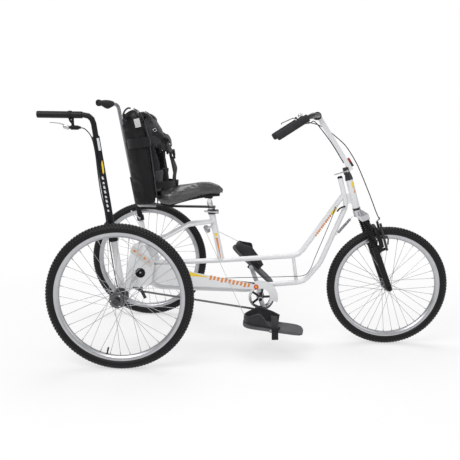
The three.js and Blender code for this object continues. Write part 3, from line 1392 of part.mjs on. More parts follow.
function gripShape(side) {
  const reach = side < 0 ? grip.length : grip.length - grip.shortened;
  const start = gripTo.clone().addScaledVector(gripAxis, seatGap + grip.endRound - reach);
  const end = gripTo.clone().addScaledVector(gripAxis, seatGap);
  const length = start.distanceTo(end);
  const bore = around(bar.radius);
  const from = vec(start.x, side * Math.abs(start.y), start.z);
  const to = vec(end.x, side * Math.abs(end.y), end.z);
  return turned([
    [bore, 0], [grip.radius, 0], [grip.radius, length],
    [grip.radius * gripRoundShare, length + grip.endRound * gripRoundShare],
    [grip.radius / 2, length + grip.endRound], [0, length + grip.endRound], [0, length],
    [bore, length], [bore, 0],
  ], from, to, tubeFacets);
}

function brakeLever() {
  const pivot = hoodPoint(hoodLever.start, hoodLever.pivotLift);
  const path = [
    pivot,
    hoodPoint(hoodLever.start + hoodLever.reach * leverKneeShare, hoodLever.lift * leverKneeLiftShare),
    hoodPoint(hoodLever.start + hoodLever.reach, hoodLever.lift),
    hoodPoint(hoodLever.start + hoodLever.reach, hoodLever.lift * leverHookShare),
  ];
  const blade = strip(roundedPath(path, hoodLever.bodyRadius), hoodLever.width, hoodLever.thickness);
  const knuckle = rod(pivot.clone().setY(pivot.y - hoodLever.width),
    pivot.clone().setY(pivot.y + hoodLever.width), hoodLever.bodyRadius,
    smallFacets);
  return join(blade, knuckle);
}

function bellShape() {
  const bellFoot = hoodPoint(bell.along, barCollar.radius + seatGap);
  const bellTop = hoodPoint(bell.along, barCollar.radius + bell.height);
  return turned([
    [0, 0], [bell.standRadius, 0], [bell.standRadius, bell.stemHeight], [bell.radius, bell.stemHeight],
    [bell.radius, bell.stemHeight + bell.height / 3],
    [bell.radius * bellDomeShare, bell.stemHeight + bell.height * bellDomeShare],
    [0, bell.stemHeight + bell.height],
  ], bellFoot, bellTop);
}

function reflectorShape() {
  const along = stemTop.clone().sub(stemFoot).normalize();
  const forward = vec(along.z, 0, -along.x);
  const face = stemFoot.clone().addScaledVector(along,
    reflector.height * reflectorRiseShare).addScaledVector(forward,
    stem.depth / 2 + seatGap + reflector.depth / 2);
  return strip([face.clone().addScaledVector(along, -reflector.height / 2),
    face.clone().addScaledVector(along, reflector.height / 2)],
    reflector.width, reflector.depth);
}

// Fork

const frontCentre = vec(wheelbase, 0, frontWheelRadius - rearWheelRadius);
const legFoot = frontCentre.clone();
const legTop = vec(fork.legTop, 0, fork.legTopRise);
const legAxis = legTop.clone().sub(legFoot).normalize();
const legForward = vec(legAxis.z, 0, -legAxis.x);
const alongLeg = (distance, side) => legTop.clone().addScaledVector(legAxis,
  -distance).setY(side * fork.legOffset);
const lowerStart = fork.bootLength + seatGap;

function forkCrown() {
  const crownMiddle = legTop.clone().addScaledVector(legAxis, fork.crownHeight / 2 + seatGap);
  const across = rectangle(fork.crownHeight, fork.crownDepth);
  const crown = sweep([vec(crownMiddle.x, -fork.legOffset - fork.bootRadius, crownMiddle.z),
    vec(crownMiddle.x, fork.legOffset + fork.bootRadius, crownMiddle.z)], across, legForward);
  const column = rod(headLine(crownMiddle.z),
    clampFoot.clone().addScaledVector(headAxis, stemClamp.height / 4), steerer.radius);
  const bridge = rod(headLine(crownMiddle.z), belowHead(headset.bottomHeight + 2 * seatGap),
    headset.bottomRadius);
  const neck = strip([vec(headLine(crownMiddle.z).x, 0, crownMiddle.z), crownMiddle], fork.crownDepth,
    fork.crownHeight);
  const stanchions = [-1, 1].map((side) => rod(alongLeg(-fork.crownHeight / 2, side),
    alongLeg(lowerStart + fork.archRise, side),
    fork.stanchionRadius));
  return join(crown, column, bridge, neck, ...stanchions);
}

function forkBoot(side) {
  return pipe(alongLeg(0, side), alongLeg(fork.bootLength, side), fork.bootRadius,
    around(fork.stanchionRadius));
}

function forkLowers() {
  const pieces = [-1, 1].flatMap((side) => {
    const axleEnd = legFoot.clone().setY(side * fork.legOffset);
    const leg = rod(alongLeg(lowerStart, side), axleEnd, fork.lowerRadius);
    const dropout = rod(vec(axleEnd.x, side * (fork.legOffset - fork.dropoutThickness), axleEnd.z),
      vec(axleEnd.x, side * (fork.legOffset + fork.lowerRadius), axleEnd.z), fork.dropoutWidth / 2,
      smallFacets);
    const stubFoot = bossPoint(side).addScaledVector(legForward, -fork.bossRadius);
    const boss = rod(alongLeg(lowerStart + fork.archRise, side), stubFoot, fork.bossRadius, smallFacets);
    const stub = rod(stubFoot.clone().addScaledVector(legForward, -fork.bossRadius), bossPoint(side),
      fork.bossRadius, smallFacets);
    return [leg, dropout, boss, stub];
  });
  const reach = fork.legOffset + fork.lowerRadius + frontAxle.nutHeight;
  const shaft = rod(vec(frontCentre.x, -reach, frontCentre.z),
    vec(frontCentre.x, reach, frontCentre.z), frontAxle.radius, smallFacets);
  const nuts = [-1, 1].map((side) => rod(vec(frontCentre.x,
    side * (fork.legOffset + fork.lowerRadius - weldOverlap), frontCentre.z),
    vec(frontCentre.x, side * reach, frontCentre.z), frontAxle.nutRadius, nutFacets));
  const body = join(...pieces, shaft, ...nuts);
  const bores = [-1, 1].map((side) => rod(alongLeg(lowerStart - cutOverrun, side),
    alongLeg(lowerStart + fork.archRise + fork.travel + slideGap, side),
    around(fork.stanchionRadius, slideGap)));
  return cut(body, ...bores);
}

function bossPoint(side) {
  return alongLeg(lowerStart + fork.archRise, side).addScaledVector(legForward,
    fork.lowerRadius + fork.bossReach)
    .setY(side * (fork.legOffset - fork.bossRadius * 2));
}

function caliperArm(side) {
  const boss = bossPoint(side).addScaledVector(legForward, seatGap + caliper.width / 2);
  const top = boss.clone().addScaledVector(legAxis, caliper.armLength).addScaledVector(legForward,
    caliper.topOffset);
  top.setY(boss.y - side * fork.bossRadius);
  const arm = sweep([boss.clone().addScaledVector(legAxis, -caliper.width), top],
    rectangle(caliper.width, caliper.thickness));
  const trackRadius = frontWheelRadius - wheel.tyreDepth - wheel.rimDepth / 2;
  const rise = padRise(boss, trackRadius);
  const padFace = wheel.rimWidth / 2 + caliper.rimClearance;
  const pad = block(caliper.padLength, caliper.padThickness, caliper.padHeight, 0, 0, 0);
  const radial = rise.clone().sub(frontCentre);
  pad.rotateY(Math.atan2(radial.x, radial.z));
  pad.translate(rise.x, side * (padFace + caliper.padThickness / 2), rise.z);
  const stud = rod(vec(rise.x, side * (padFace + caliper.padThickness / 2), rise.z),
    vec(rise.x, boss.y, rise.z), caliper.studRadius,
    smallFacets);
  return join(arm, pad, stud);
}

// The point of the arm's line that stands over the rim's braking track.
function padRise(boss, radius) {
  const slope = legAxis.clone().multiplyScalar(caliper.armLength).addScaledVector(legForward,
    caliper.topOffset).normalize();
  const offset = boss.clone().setY(0).sub(frontCentre);
  const along = offset.dot(slope);
  const reach = Math.sqrt(radius * radius - offset.lengthSq() + along * along);
  return boss.clone().setY(0).addScaledVector(slope, reach - along);
}

// Coil spring between the fork and the lower tube, with hooked ends

function springPoints() {
  const from = vec(spring.rear, 0, spring.rearRise);
  const to = vec(spring.front, 0, spring.frontRise);
  const axis = to.clone().sub(from).normalize();
  const centre = from.clone().lerp(to, 1 / 2);
  const sideways = vec(0, 1, 0);
  const up = sideways.clone().cross(axis);
  const steps = spring.curls * spring.stepsPerCurl;
  const coil = Array.from({ length: steps + 1 }, (_, k) => {
    const angle = (2 * Math.PI * k) / spring.stepsPerCurl;
    const along = spring.coilLength * (k / steps - 1 / 2);
    return centre.clone().addScaledVector(axis, along)
      .addScaledVector(sideways, spring.coilRadius * Math.cos(angle)).addScaledVector(up,
        spring.coilRadius * Math.sin(angle));
  });
  const lead = spring.wireRadius * 2;
  const start = coil[0].clone().addScaledVector(axis, -lead);
  const end = coil[coil.length - 1].clone().addScaledVector(axis, lead);
  return { path: [from, start, ...coil, end, to], coil };
}

// The least clear distance between turns of the coil.
function coilGap(coil) {
  let least = Infinity;
  for (let i = 0; i < coil.length; i += 1) {
    for (let k = i + Math.ceil(spring.stepsPerCurl / 2); k < coil.length; k += 1) {
      least = Math.min(least, coil[i].distanceTo(coil[k]));
    }
  }
  return least - 2 * spring.wireRadius;
}

function centringSpring() {
  const { path, coil } = springPoints();
  console.log('least gap between the turns of centring_spring', coilGap(coil).toFixed(2));
  return tube(path, spring.wireRadius, spring.sides);
}

// Push handles

function handleAxis(lean) {
  return vec(-Math.tan(radians(lean)), 0, 1).normalize();
}

function sleeveShape(side) {
  const handle = side < 0 ? pushRight : pushLeft;
  const bore = around(handle.barRadius, slideGap);
  const axis = handleAxis(handle.leanAngle);
  const bottom = onHandle(side, socket.rise).addScaledVector(axis, seatGap);
  const length = onHandle(side, handle.sleeveTop).distanceTo(bottom);
  return turned([
    [bore, 0], [handle.collarRadius, 0], [handle.collarRadius, handle.collarHeight],
    [handle.sleeveRadius, handle.collarHeight],
    [handle.sleeveRadius, length], [bore, length], [bore, 0],
  ], bottom, bottom.clone().add(axis));
}

function rightPushBar() {
  const y = -socket.offset;
  const barFoot = onHandle(-1, pushRight.sleeveTop - pushRight.innerLength);
  const corner = onHandle(-1, pushRight.top);
  const end = vec(pushRight.gripEnd, y, pushRight.top);
  const path = roundedPath([barFoot, corner, end], pushRight.bend);
  const gripStart = vec(pushRight.gripEnd + pushRight.gripLength, y, pushRight.top);
  const mount = vec(pushLever.pivot + pushLever.bodyLength * mountShare, y, pushRight.top);
  const body = block(pushLever.bodyLength, pushLever.bodyWidth, pushLever.bodyHeight,
    pushLever.pivot + pushLever.bodyLength / 2, y, pushLever.pivotRise);
  const drop = rod(mount, vec(pushLever.pivot + pushLever.bodyLength * mountShare, y,
    pushLever.pivotRise), pushLever.bodyHeight / 2);
  return join(tube(path, pushRight.barRadius), rod(end, gripStart, pushRight.gripRadius), body, drop);
}

function pushBrakeLever() {
  const y = -socket.offset;
  const start = pushLever.pivot - slideGap - pushLever.bladeThickness / 4;
  const path = roundedPath([
    vec(start, y, pushLever.pivotRise),
    vec(start - pushLever.bladeReach * kneeShare, y,
      pushLever.pivotRise + pushLever.bodyHeight * kneeLiftShare),
    vec(start - pushLever.bladeReach, y, pushLever.pivotRise + pushLever.bodyHeight * tipLiftShare),
  ], pushLever.bladeReach / 2);
  return strip(path, pushLever.bladeWidth, pushLever.bladeThickness);
}

function leftPushBar() {
  const barFoot = onHandle(1, pushLeft.sleeveTop - pushLeft.innerLength);
  const corner = onHandle(1, pushLeft.barTop);
  const end = leftGripPoint(pushLeft.gripLength + pushLeft.bend);
  return tube(roundedPath([barFoot, corner, end], pushLeft.bend), pushLeft.barRadius);
}

function leftGripPoint(distance) {
  const angle = radians(pushLeft.gripAngle);
  const corner = onHandle(1, pushLeft.barTop);
  return corner.add(vec(-distance * Math.cos(angle), -distance * Math.sin(angle), 0));
}

function leftPushGrip() {
  const from = leftGripPoint(pushLeft.bend);
  const to = leftGripPoint(pushLeft.bend + pushLeft.gripLength);
  const length = pushLeft.gripLength + seatGap;
  const bore = around(pushLeft.barRadius);
  return turned([
    [bore, 0], [pushLeft.gripRadius, 0], [pushLeft.gripRadius, length],
    [pushLeft.gripRadius * gripRoundShare, length + grip.endRound / 2],
    [0, length + grip.endRound / 2], [0, length], [bore, length], [bore, 0],
  ], from, to, tubeFacets);
}

function handleClampLever() {
  const axis = handleAxis(pushLeft.leanAngle);
  const pivot = onHandle(1, socket.rise).addScaledVector(axis, pushLeft.collarHeight / 2);
  pivot.setY(pivot.y - flatRadius(pushLeft.collarRadius) - seatGap - clampLever.pivotRadius);
  const tip = pivot.clone().add(vec(-clampLever.length * leverLeanShare, -clampLever.radius,
    clampLever.length * leverLiftShare));
  return camLever(pivot, axis, clampLever.pivotRadius, clampLever.pivotRadius, tip, clampLever.radius);
}

// Cables, along hand-chosen routes

function curvedRoute(points, steps) {
  return new THREE.CatmullRomCurve3(points, false, 'centripetal').getSpacedPoints(steps);
}

function cableShape(points, radius, steps) {
  return tube(curvedRoute(points, steps), radius, cable.sides);
}

function steeringCables() {
  const brake = cableShape([
    vec(832, 146, 786), vec(862, 110, 782), vec(905, 50, 768), vec(948, 27, 742), vec(986, 10, 712),
    vec(1031, -19, 668), vec(1076, -24, 602), vec(1103, -28, 551), vec(1154, -34, 437),
    vec(1192, -40, 345), vec(1210, -30, 316), vec(1212, -14, 322),
  ], cable.radius, brakeCableSteps);
  const gear = cableShape([
    vec(832, 146, 786), vec(846, 100, 776), vec(862, 30, 778), vec(878, -12, 782), vec(934, -12, 718),
    vec(972.2, -12, 667), vec(1008.3, -12, 612), vec(1025.2, -12, 586),
  ], cable.radius, gearCableSteps);
  return join(brake, gear);
}

function frameCable() {
  return cableShape([
    vec(994, -14.6, 372), vec(979, -17, 318), vec(940, -17, 212), vec(900, -17, 106),
    vec(882, -17, 55), vec(849, -17, 20), vec(760, -16, 12), vec(680, -16, 8), vec(527, -16, 2),
    vec(400, -16, -4), vec(280, -16, 0), vec(160, -16, 22), vec(92, -14.6, 67),
  ], cable.thinRadius, frameCableSteps);
}

// The points across are measured outward from the right push bar, which the cable follows.
function handleCable() {
  const beside = (x, out, z) => vec(x, -socket.offset - out, z);
  return cableShape([
    beside(-174.5, 0, 736), beside(-150, 11, 728), beside(-121, 23, 694), beside(-106, 25, 629),
    beside(-98, 24, 550), beside(-86, 24, 454), beside(-70, 24, 375), beside(-57, 25, 270),
    beside(-40, 23, 140), beside(-28, 19, 62), beside(-22, 18, 30),
  ], cable.radius, handleCableSteps);
}

// Assembly

addWheel('rear', '_right', rearWheelRadius, rearHub, around(axle.radius, seatGap, hubFacets), -1,
  vec(0, -track / 2, rearWheelRadius));
addWheel('rear', '_left', rearWheelRadius, rearHub, around(axle.radius, seatGap, hubFacets), 1,
  vec(0, track / 2, rearWheelRadius));
addWheel('front', '', frontWheelRadius, frontHub, around(frontAxle.radius, slideGap, hubFacets), 1,
  vec(wheelbase, 0, frontWheelRadius));
addPiece('rear_axle', rearAxle(), greyAlloy);

addPiece('main_frame', mainFrame(), whitePaint);
addPiece('head_tube', headTubeShape(), whitePaint);
addPiece('frame_end_cap', stubCap(), blackPlastic);
addPiece('rear_frame', rearFrame(), whitePaint);

addPiece('chain_guard', guardShape(), whitePaint);
addPiece('chain', chainShape(), greyAlloy);
addPiece('rear_sprocket', sprocketShape(), blackPaint);
addPiece('chain_tensioner', tensionerShape(), greyAlloy);
addPiece('chainring', chainringShape(), steel, crankGroup);
addPiece('crank_right', rightCrank(), greyAlloy, crankGroup);
addPiece('crank_left', leftCrank(), greyAlloy, crankGroup);
addFoot('right', -1, foot.nearTiltAngle);
addFoot('left', 1, foot.farTiltAngle);
addPiece('cord_pulley', pulleyShape(), blackPlastic);
addPiece('levelling_cord', levellingCord(), cordWhite);

addPiece('seat_post', seatPost(), chrome);
addPiece('seat_lever', seatLever(), steel);
addPiece('saddle_pan', saddlePan(), blackPlastic);
addPiece('saddle_cushion', saddleCushion(), blackVinyl);
addPiece('back_support', backSupport(), steel);
addPiece('back_board', backBoard(), blackPlastic, backGroup);
addPiece('back_pad', backPad(), blackVinyl, backGroup);
addPiece('chest_harness', chestHarness(), webbing, backGroup);
addPiece('lap_belt', lapBelt(), webbing, backGroup);

addPiece('headset', headsetShape(), blackPaint);
addPiece('stem_clamp', stemClampShape(), blackPaint);
addPiece('stem_lever', stemLeverShape(), steel);
addPiece('stem_post', stemPost(), whitePaint);
addPiece('handlebar', handlebar(), blackPaint);
addPiece('bar_grip_right', gripShape(-1), blackRubber);
addPiece('bar_grip_left', gripShape(1), blackRubber);
addPiece('brake_lever', brakeLever(), steel);
addPiece('bell', bellShape(), chrome);
addPiece('reflector', reflectorShape(), blackPlastic);

addPiece('fork_crown', forkCrown(), steel);
addPiece('fork_boot_right', forkBoot(-1), blackRubber);
addPiece('fork_boot_left', forkBoot(1), blackRubber);
addPiece('fork_lowers', forkLowers(), blackPaint);
addPiece('brake_arm_right', caliperArm(-1), blackPaint);
addPiece('brake_arm_left', caliperArm(1), blackPaint);
addPiece('centring_spring', centringSpring(), steel);

addPiece('push_sleeve_right', sleeveShape(-1), blackRubber);
addPiece('push_bar_right', rightPushBar(), blackRubber);
addPiece('push_brake_lever', pushBrakeLever(), steel);
addPiece('push_sleeve_left', sleeveShape(1), blackRubber);
addPiece('push_bar_left', leftPushBar(), chrome);
addPiece('push_grip_left', leftPushGrip(), blackRubber);
addPiece('handle_clamp_lever', handleClampLever(), steel);

addPiece('steering_cables', steeringCables(), blackRubber);
addPiece('frame_cable', frameCable(), greyPlastic);
addPiece('handle_cable', handleCable(), blackRubber);

export default object;
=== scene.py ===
import bpy
import bmesh
import json
import math
from mathutils import Matrix, Vector, noise


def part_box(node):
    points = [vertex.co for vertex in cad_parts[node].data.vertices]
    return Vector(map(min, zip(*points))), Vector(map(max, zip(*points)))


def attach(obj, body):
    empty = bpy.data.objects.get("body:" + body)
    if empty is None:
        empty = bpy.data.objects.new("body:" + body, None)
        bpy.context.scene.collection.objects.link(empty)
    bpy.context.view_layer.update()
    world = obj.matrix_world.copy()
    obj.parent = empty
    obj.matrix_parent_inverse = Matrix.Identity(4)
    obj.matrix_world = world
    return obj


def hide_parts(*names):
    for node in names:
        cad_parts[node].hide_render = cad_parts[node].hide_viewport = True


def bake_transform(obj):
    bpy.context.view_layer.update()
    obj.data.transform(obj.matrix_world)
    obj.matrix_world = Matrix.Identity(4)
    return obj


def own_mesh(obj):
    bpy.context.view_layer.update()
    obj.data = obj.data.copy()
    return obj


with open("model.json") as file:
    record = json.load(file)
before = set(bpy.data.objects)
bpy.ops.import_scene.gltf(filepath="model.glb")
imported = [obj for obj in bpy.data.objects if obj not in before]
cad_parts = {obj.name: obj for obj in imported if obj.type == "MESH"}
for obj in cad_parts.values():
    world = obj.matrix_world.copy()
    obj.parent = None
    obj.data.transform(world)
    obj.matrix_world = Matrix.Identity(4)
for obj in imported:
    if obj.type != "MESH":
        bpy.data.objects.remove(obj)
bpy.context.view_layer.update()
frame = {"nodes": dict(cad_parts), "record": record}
nodes = frame["nodes"]

mergeDistance = 0.00002
startRadius = 0.01  # of a new circle, before its points are placed


def deselectAll():
    if bpy.context.mode != "OBJECT":
        bpy.ops.object.mode_set(mode="OBJECT")
    bpy.ops.object.select_all(action="DESELECT")


def makeActive(piece):
    deselectAll()
    piece.select_set(True)
    bpy.context.view_layer.objects.active = piece


def applyAll(piece):
    makeActive(piece)
    for modifier in list(piece.modifiers):
        bpy.ops.object.modifier_apply(modifier=modifier.name)


def settle(piece):  # leaves the object at the origin, with its place in its mesh
    makeActive(piece)
    bpy.ops.object.transform_apply(location=True, rotation=True, scale=True)


def namedPiece(name):
    piece = bpy.context.object
    piece.name = name
    piece.data.name = name
    return piece


def joinPieces(name, pieces):
    deselectAll()
    for piece in pieces:
        piece.select_set(True)
    bpy.context.view_layer.objects.active = pieces[0]
    if len(pieces) > 1:
        bpy.ops.object.join()
    return namedPiece(name)


def copyOf(piece, name):
    twin = piece.copy()
    twin.data = piece.data.copy()
    twin.name = name
    twin.data.name = name
    bpy.context.scene.collection.objects.link(twin)
    return twin


def smoothByAngle(piece, degrees=35):
    makeActive(piece)
    bpy.ops.object.shade_smooth_by_angle(angle=math.radians(degrees))


def finishPiece(piece, material, body, degrees=35):
    piece.data.materials.clear()
    piece.data.materials.append(material)
    smoothByAngle(piece, degrees)
    if body:
        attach(piece, body)


def clamped(value):
    return min(1.0, max(0.0, value))


def softStep(share):
    return share * share * (3 - 2 * share)


def movedTo(piece, place, degrees=0.0, axis="Y"):  # turns a piece about its own axis, then sets it down
    piece.data.transform(Matrix.Translation(place) @ Matrix.Rotation(math.radians(degrees), 4, axis))
    return piece


def turnAbout(piece, degrees, axis, centre):  # turns a piece about a line through centre
    spin = Matrix.Rotation(math.radians(degrees), 4, Vector(axis).normalized())
    move = Matrix.Translation(Vector(centre))
    piece.data.transform(move @ spin @ move.inverted())


def relaxSurface(piece, factor, rounds):
    relax = piece.modifiers.new("relax", "SMOOTH")
    relax.factor = factor
    relax.iterations = rounds
    applyAll(piece)


def divideSurface(piece, levels=1):
    divide = piece.modifiers.new("divide", "SUBSURF")
    divide.levels = divide.render_levels = levels
    applyAll(piece)


def spunProfile(name, points, centre, steps):
    # points are (distance from the axle, place along +Y); the axle runs along Y through centre
    deselectAll()
    bpy.ops.mesh.primitive_circle_add(vertices=len(points), radius=startRadius, location=(0, 0, 0))
    piece = namedPiece(name)
    bpy.ops.object.mode_set(mode="EDIT")
    mesh = bmesh.from_edit_mesh(piece.data)
    mesh.verts.ensure_lookup_table()
    for vertex, (reach, along) in zip(mesh.verts, points):
        vertex.co = Vector(centre) + Vector((reach, along, 0))
    bmesh.update_edit_mesh(piece.data)
    bpy.ops.mesh.select_all(action="SELECT")
    bpy.ops.mesh.spin(steps=steps, angle=math.tau, center=centre, axis=(0, 1, 0))
    bpy.ops.mesh.select_all(action="SELECT")
    bpy.ops.mesh.remove_doubles(threshold=mergeDistance)
    bpy.ops.mesh.normals_make_consistent(inside=False)
    bpy.ops.object.mode_set(mode="OBJECT")
    return piece


def repeatRound(piece, count, centre, firstDegrees=0.0):
    # copies of the piece all round the Y axis through centre, each with its own mesh
    settle(piece)
    if firstDegrees:
        turnAbout(piece, firstDegrees, (0, 1, 0), centre)
    copies = [piece]
    for k in range(1, count):
        twin = copyOf(piece, piece.name + "_" + str(k))
        turnAbout(twin, 360 * k / count, (0, 1, 0), centre)
        copies.append(twin)
    return joinPieces(piece.name, copies)


def rodBetween(name, start, end, radius, sides=16, endRadius=None):
    start, end = Vector(start), Vector(end)
    along = end - start
    deselectAll()
    bpy.ops.mesh.primitive_cone_add(
        vertices=sides, radius1=radius, radius2=endRadius or radius, depth=along.length,
        location=(start + end) / 2, rotation=along.to_track_quat("Z", "Y").to_euler())
    piece = namedPiece(name)
    settle(piece)
    return piece


def roundedBox(name, size, centre, bevel, segments=3):
    deselectAll()
    bpy.ops.mesh.primitive_cube_add(size=1, location=centre)
    piece = namedPiece(name)
    piece.scale = size
    settle(piece)
    edge = piece.modifiers.new("edges", "BEVEL")
    edge.width = bevel
    edge.segments = segments
    applyAll(piece)
    return piece


def smoothRoute(points, steps):
    # a line through the points that turns smoothly at each
    points = [Vector(p) for p in points]
    padded = [2 * points[0] - points[1]] + points + [2 * points[-1] - points[-2]]
    line = []
    for i in range(1, len(padded) - 2):
        a, b, c, d = padded[i - 1:i + 3]
        for k in range(steps):
            t = k / steps
            line.append(0.5 * ((2 * b) + (c - a) * t + (2 * a - 5 * b + 4 * c - d) * t * t
                               + (3 * b - a - 3 * c + d) * t * t * t))
    line.append(points[-1])
    return line


strapValues = {"across": 5, "edgeHeight": 0.7}  # points across each face, and the height left at the edges


def bandAlong(name, line, sideways, half, thickness, corner, crown=0.0):
    # a strap or padded band: a ring is extruded from each point of the line to the next
    line = [Vector(p) for p in line]
    places = [2 * k / (strapValues["across"] - 1) - 1 for k in range(strapValues["across"])]
    ring = [(place, -1) for place in places] + [(-place, 1) for place in places]
    deselectAll()
    bpy.ops.mesh.primitive_circle_add(vertices=len(ring), radius=startRadius, location=(0, 0, 0),
                                      fill_type="NGON")
    piece = namedPiece(name)
    bpy.ops.object.mode_set(mode="EDIT")
    mesh = bmesh.from_edit_mesh(piece.data)

    def setRing(vertices, index):
        before = line[max(index - 1, 0)]
        after = line[min(index + 1, len(line) - 1)]
        along = (after - before).normalized()
        side = Vector(sideways)
        side = (side - along * side.dot(along)).normalized()
        up = side.cross(along)
        for vertex, (across, height) in zip(vertices, ring):
            atEdge = abs(across) == 1
            bulge = 1 + crown * (1 - across * across)
            squeeze = 1 - corner / half if atEdge else 1
            tall = height * thickness / 2 * bulge * (strapValues["edgeHeight"] if atEdge else 1)
            vertex.co = line[index] + side * half * across * squeeze + up * tall

    mesh.verts.ensure_lookup_table()
    current = list(mesh.verts)
    setRing(current, 0)
    for index in range(1, len(line)):
        face = [f for f in mesh.faces if set(f.verts) == set(current)]
        made = bmesh.ops.extrude_face_region(mesh, geom=face)
        inner = [f for f in face if f.is_valid and index > 1]
        bmesh.ops.delete(mesh, geom=inner, context="FACES_ONLY")
        fresh = [g for g in made["geom"] if isinstance(g, bmesh.types.BMVert)]
        ordered = []
        for vertex in current:
            others = [edge.other_vert(vertex) for edge in vertex.link_edges]
            ordered.append([other for other in others if other in fresh][0])
        current = ordered
        setRing(current, index)
    bmesh.ops.recalc_face_normals(mesh, faces=list(mesh.faces))
    bmesh.update_edit_mesh(piece.data)
    bpy.ops.object.mode_set(mode="OBJECT")
    return piece


blackShine = 0.24  # specular level of the black finishes
bandPitch = 0.314  # distance between a Wave texture's bands at a scale of 1


def startMaterial(name, colour, roughness, metallic=0.0, shine=None):
    material = bpy.data.materials.new(name)
    material.use_nodes = True
    tree = material.node_tree
    shader = tree.nodes["Principled BSDF"]
    shader.inputs["Base Color"].default_value = (*colour, 1)
    shader.inputs["Roughness"].default_value = roughness
    shader.inputs["Metallic"].default_value = metallic
    if shine is not None:
        shader.inputs["Specular IOR Level"].default_value = shine
    return material, tree, shader


def setSockets(material, sockets):
    shader = material.node_tree.nodes["Principled BSDF"]
    for socket, value in sockets.items():
        shader.inputs[socket].default_value = value


def coordinates(tree, stretch=(1, 1, 1)):
    place = tree.nodes.new("ShaderNodeTexCoord")
    mapping = tree.nodes.new("ShaderNodeMapping")
    mapping.inputs["Scale"].default_value = stretch
    tree.links.new(place.outputs["Object"], mapping.inputs["Vector"])
    return mapping.outputs["Vector"]


def noiseOf(tree, vector, scale, detail=4.0, roughness=0.55):
    node = tree.nodes.new("ShaderNodeTexNoise")
    node.inputs["Scale"].default_value = scale
    node.inputs["Detail"].default_value = detail
    node.inputs["Roughness"].default_value = roughness
    tree.links.new(vector, node.inputs["Vector"])
    return node.outputs["Fac"]


def rampOf(tree, value, stops):
    ramp = tree.nodes.new("ShaderNodeValToRGB")
    ramp.color_ramp.elements[0].position = stops[0][0]
    ramp.color_ramp.elements[0].color = (*stops[0][1], 1)
    ramp.color_ramp.elements[1].position = stops[-1][0]
    ramp.color_ramp.elements[1].color = (*stops[-1][1], 1)
    for position, colour in stops[1:-1]:
        stop = ramp.color_ramp.elements.new(position)
        stop.color = (*colour, 1)
    tree.links.new(value, ramp.inputs["Fac"])
    return ramp.outputs["Color"]


def rangeOf(tree, value, low, high, fromLow=0.3, fromHigh=0.7):
    node = tree.nodes.new("ShaderNodeMapRange")
    node.inputs["From Min"].default_value = fromLow
    node.inputs["From Max"].default_value = fromHigh
    node.inputs["To Min"].default_value = low
    node.inputs["To Max"].default_value = high
    tree.links.new(value, node.inputs["Value"])
    return node.outputs["Result"]


def mathOf(tree, operation, first, second=None):
    node = tree.nodes.new("ShaderNodeMath")
    node.operation = operation
    for socket, value in zip(node.inputs, (first, second)):
        if value is None:
            continue
        if isinstance(value, (int, float)):
            socket.default_value = value
        else:
            tree.links.new(value, socket)
    return node.outputs["Value"]


def diagonalOf(tree, first, second):  # the length of the two taken as sides of a right angle
    squares = [mathOf(tree, "MULTIPLY", value, value) for value in (first, second)]
    return mathOf(tree, "SQRT", mathOf(tree, "ADD", *squares))


def axesOf(tree, names):
    place = tree.nodes.new("ShaderNodeSeparateXYZ")
    tree.links.new(coordinates(tree), place.inputs[0])
    return [place.outputs[name] for name in names]


def bumpOf(tree, shader, height, distance, strength, below=None):
    bump = tree.nodes.new("ShaderNodeBump")
    bump.inputs["Distance"].default_value = distance
    bump.inputs["Strength"].default_value = strength
    tree.links.new(height, bump.inputs["Height"])
    if below is not None:
        tree.links.new(below, bump.inputs["Normal"])
    tree.links.new(bump.outputs["Normal"], shader.inputs["Normal"])


def shaded(colour, share):
    return tuple(clamped(c * share) for c in colour)


def tintBy(tree, shader, value, colour, shades, places=(0.3, 0.7)):
    # the colour varies with the value, from a darker share of itself to a lighter one
    stops = [(place, shaded(colour, share)) for place, share in zip(places, shades)]
    tree.links.new(rampOf(tree, value, stops), shader.inputs["Base Color"])


def dullBy(tree, shader, value, roughness, shares):
    least, most = (min(1.0, roughness * share) for share in shares)
    tree.links.new(rangeOf(tree, value, least, most), shader.inputs["Roughness"])


# In the values of the finishes, a noise is (scale, detail, roughness) and a bump is (depth, strength).
paintValues = {
    "patchNoise": (9,), "patchShades": (0.95, 1.0), "dullNoise": (60,), "dullShares": (0.85, 1.25),
    "bumpNoise": (300, 2), "bump": (0.00001, 0.2), "coatRoughness": 0.12,
}


def paintMaterial(name, colour, roughness=0.28, coat=0.6):
    material, tree, shader = startMaterial(name, colour, roughness)
    vector = coordinates(tree)
    patches = noiseOf(tree, vector, *paintValues["patchNoise"])
    tintBy(tree, shader, patches, colour, paintValues["patchShades"])
    wear = noiseOf(tree, vector, *paintValues["dullNoise"])
    dullBy(tree, shader, wear, roughness, paintValues["dullShares"])
    bumpOf(tree, shader, noiseOf(tree, vector, *paintValues["bumpNoise"]), *paintValues["bump"])
    shader.inputs["Coat Weight"].default_value = coat
    shader.inputs["Coat Roughness"].default_value = paintValues["coatRoughness"]
    return material


metalValues = {
    "patchNoise": (30,), "patchShades": (0.88, 1.0), "patchPlaces": (0.3, 0.72),
    "grainDetail": 3, "dullShares": (0.75, 1.3), "bump": (0.00003, 0.4),
}


def metalMaterial(name, colour, roughness, stretch=(1, 1, 1), scale=500):
    material, tree, shader = startMaterial(name, colour, roughness, 1.0)
    grain = noiseOf(tree, coordinates(tree, stretch), scale, metalValues["grainDetail"])
    patches = noiseOf(tree, coordinates(tree), *metalValues["patchNoise"])
    tintBy(tree, shader, patches, colour, metalValues["patchShades"], metalValues["patchPlaces"])
    dullBy(tree, shader, grain, roughness, metalValues["dullShares"])
    bumpOf(tree, shader, grain, *metalValues["bump"])
    return material


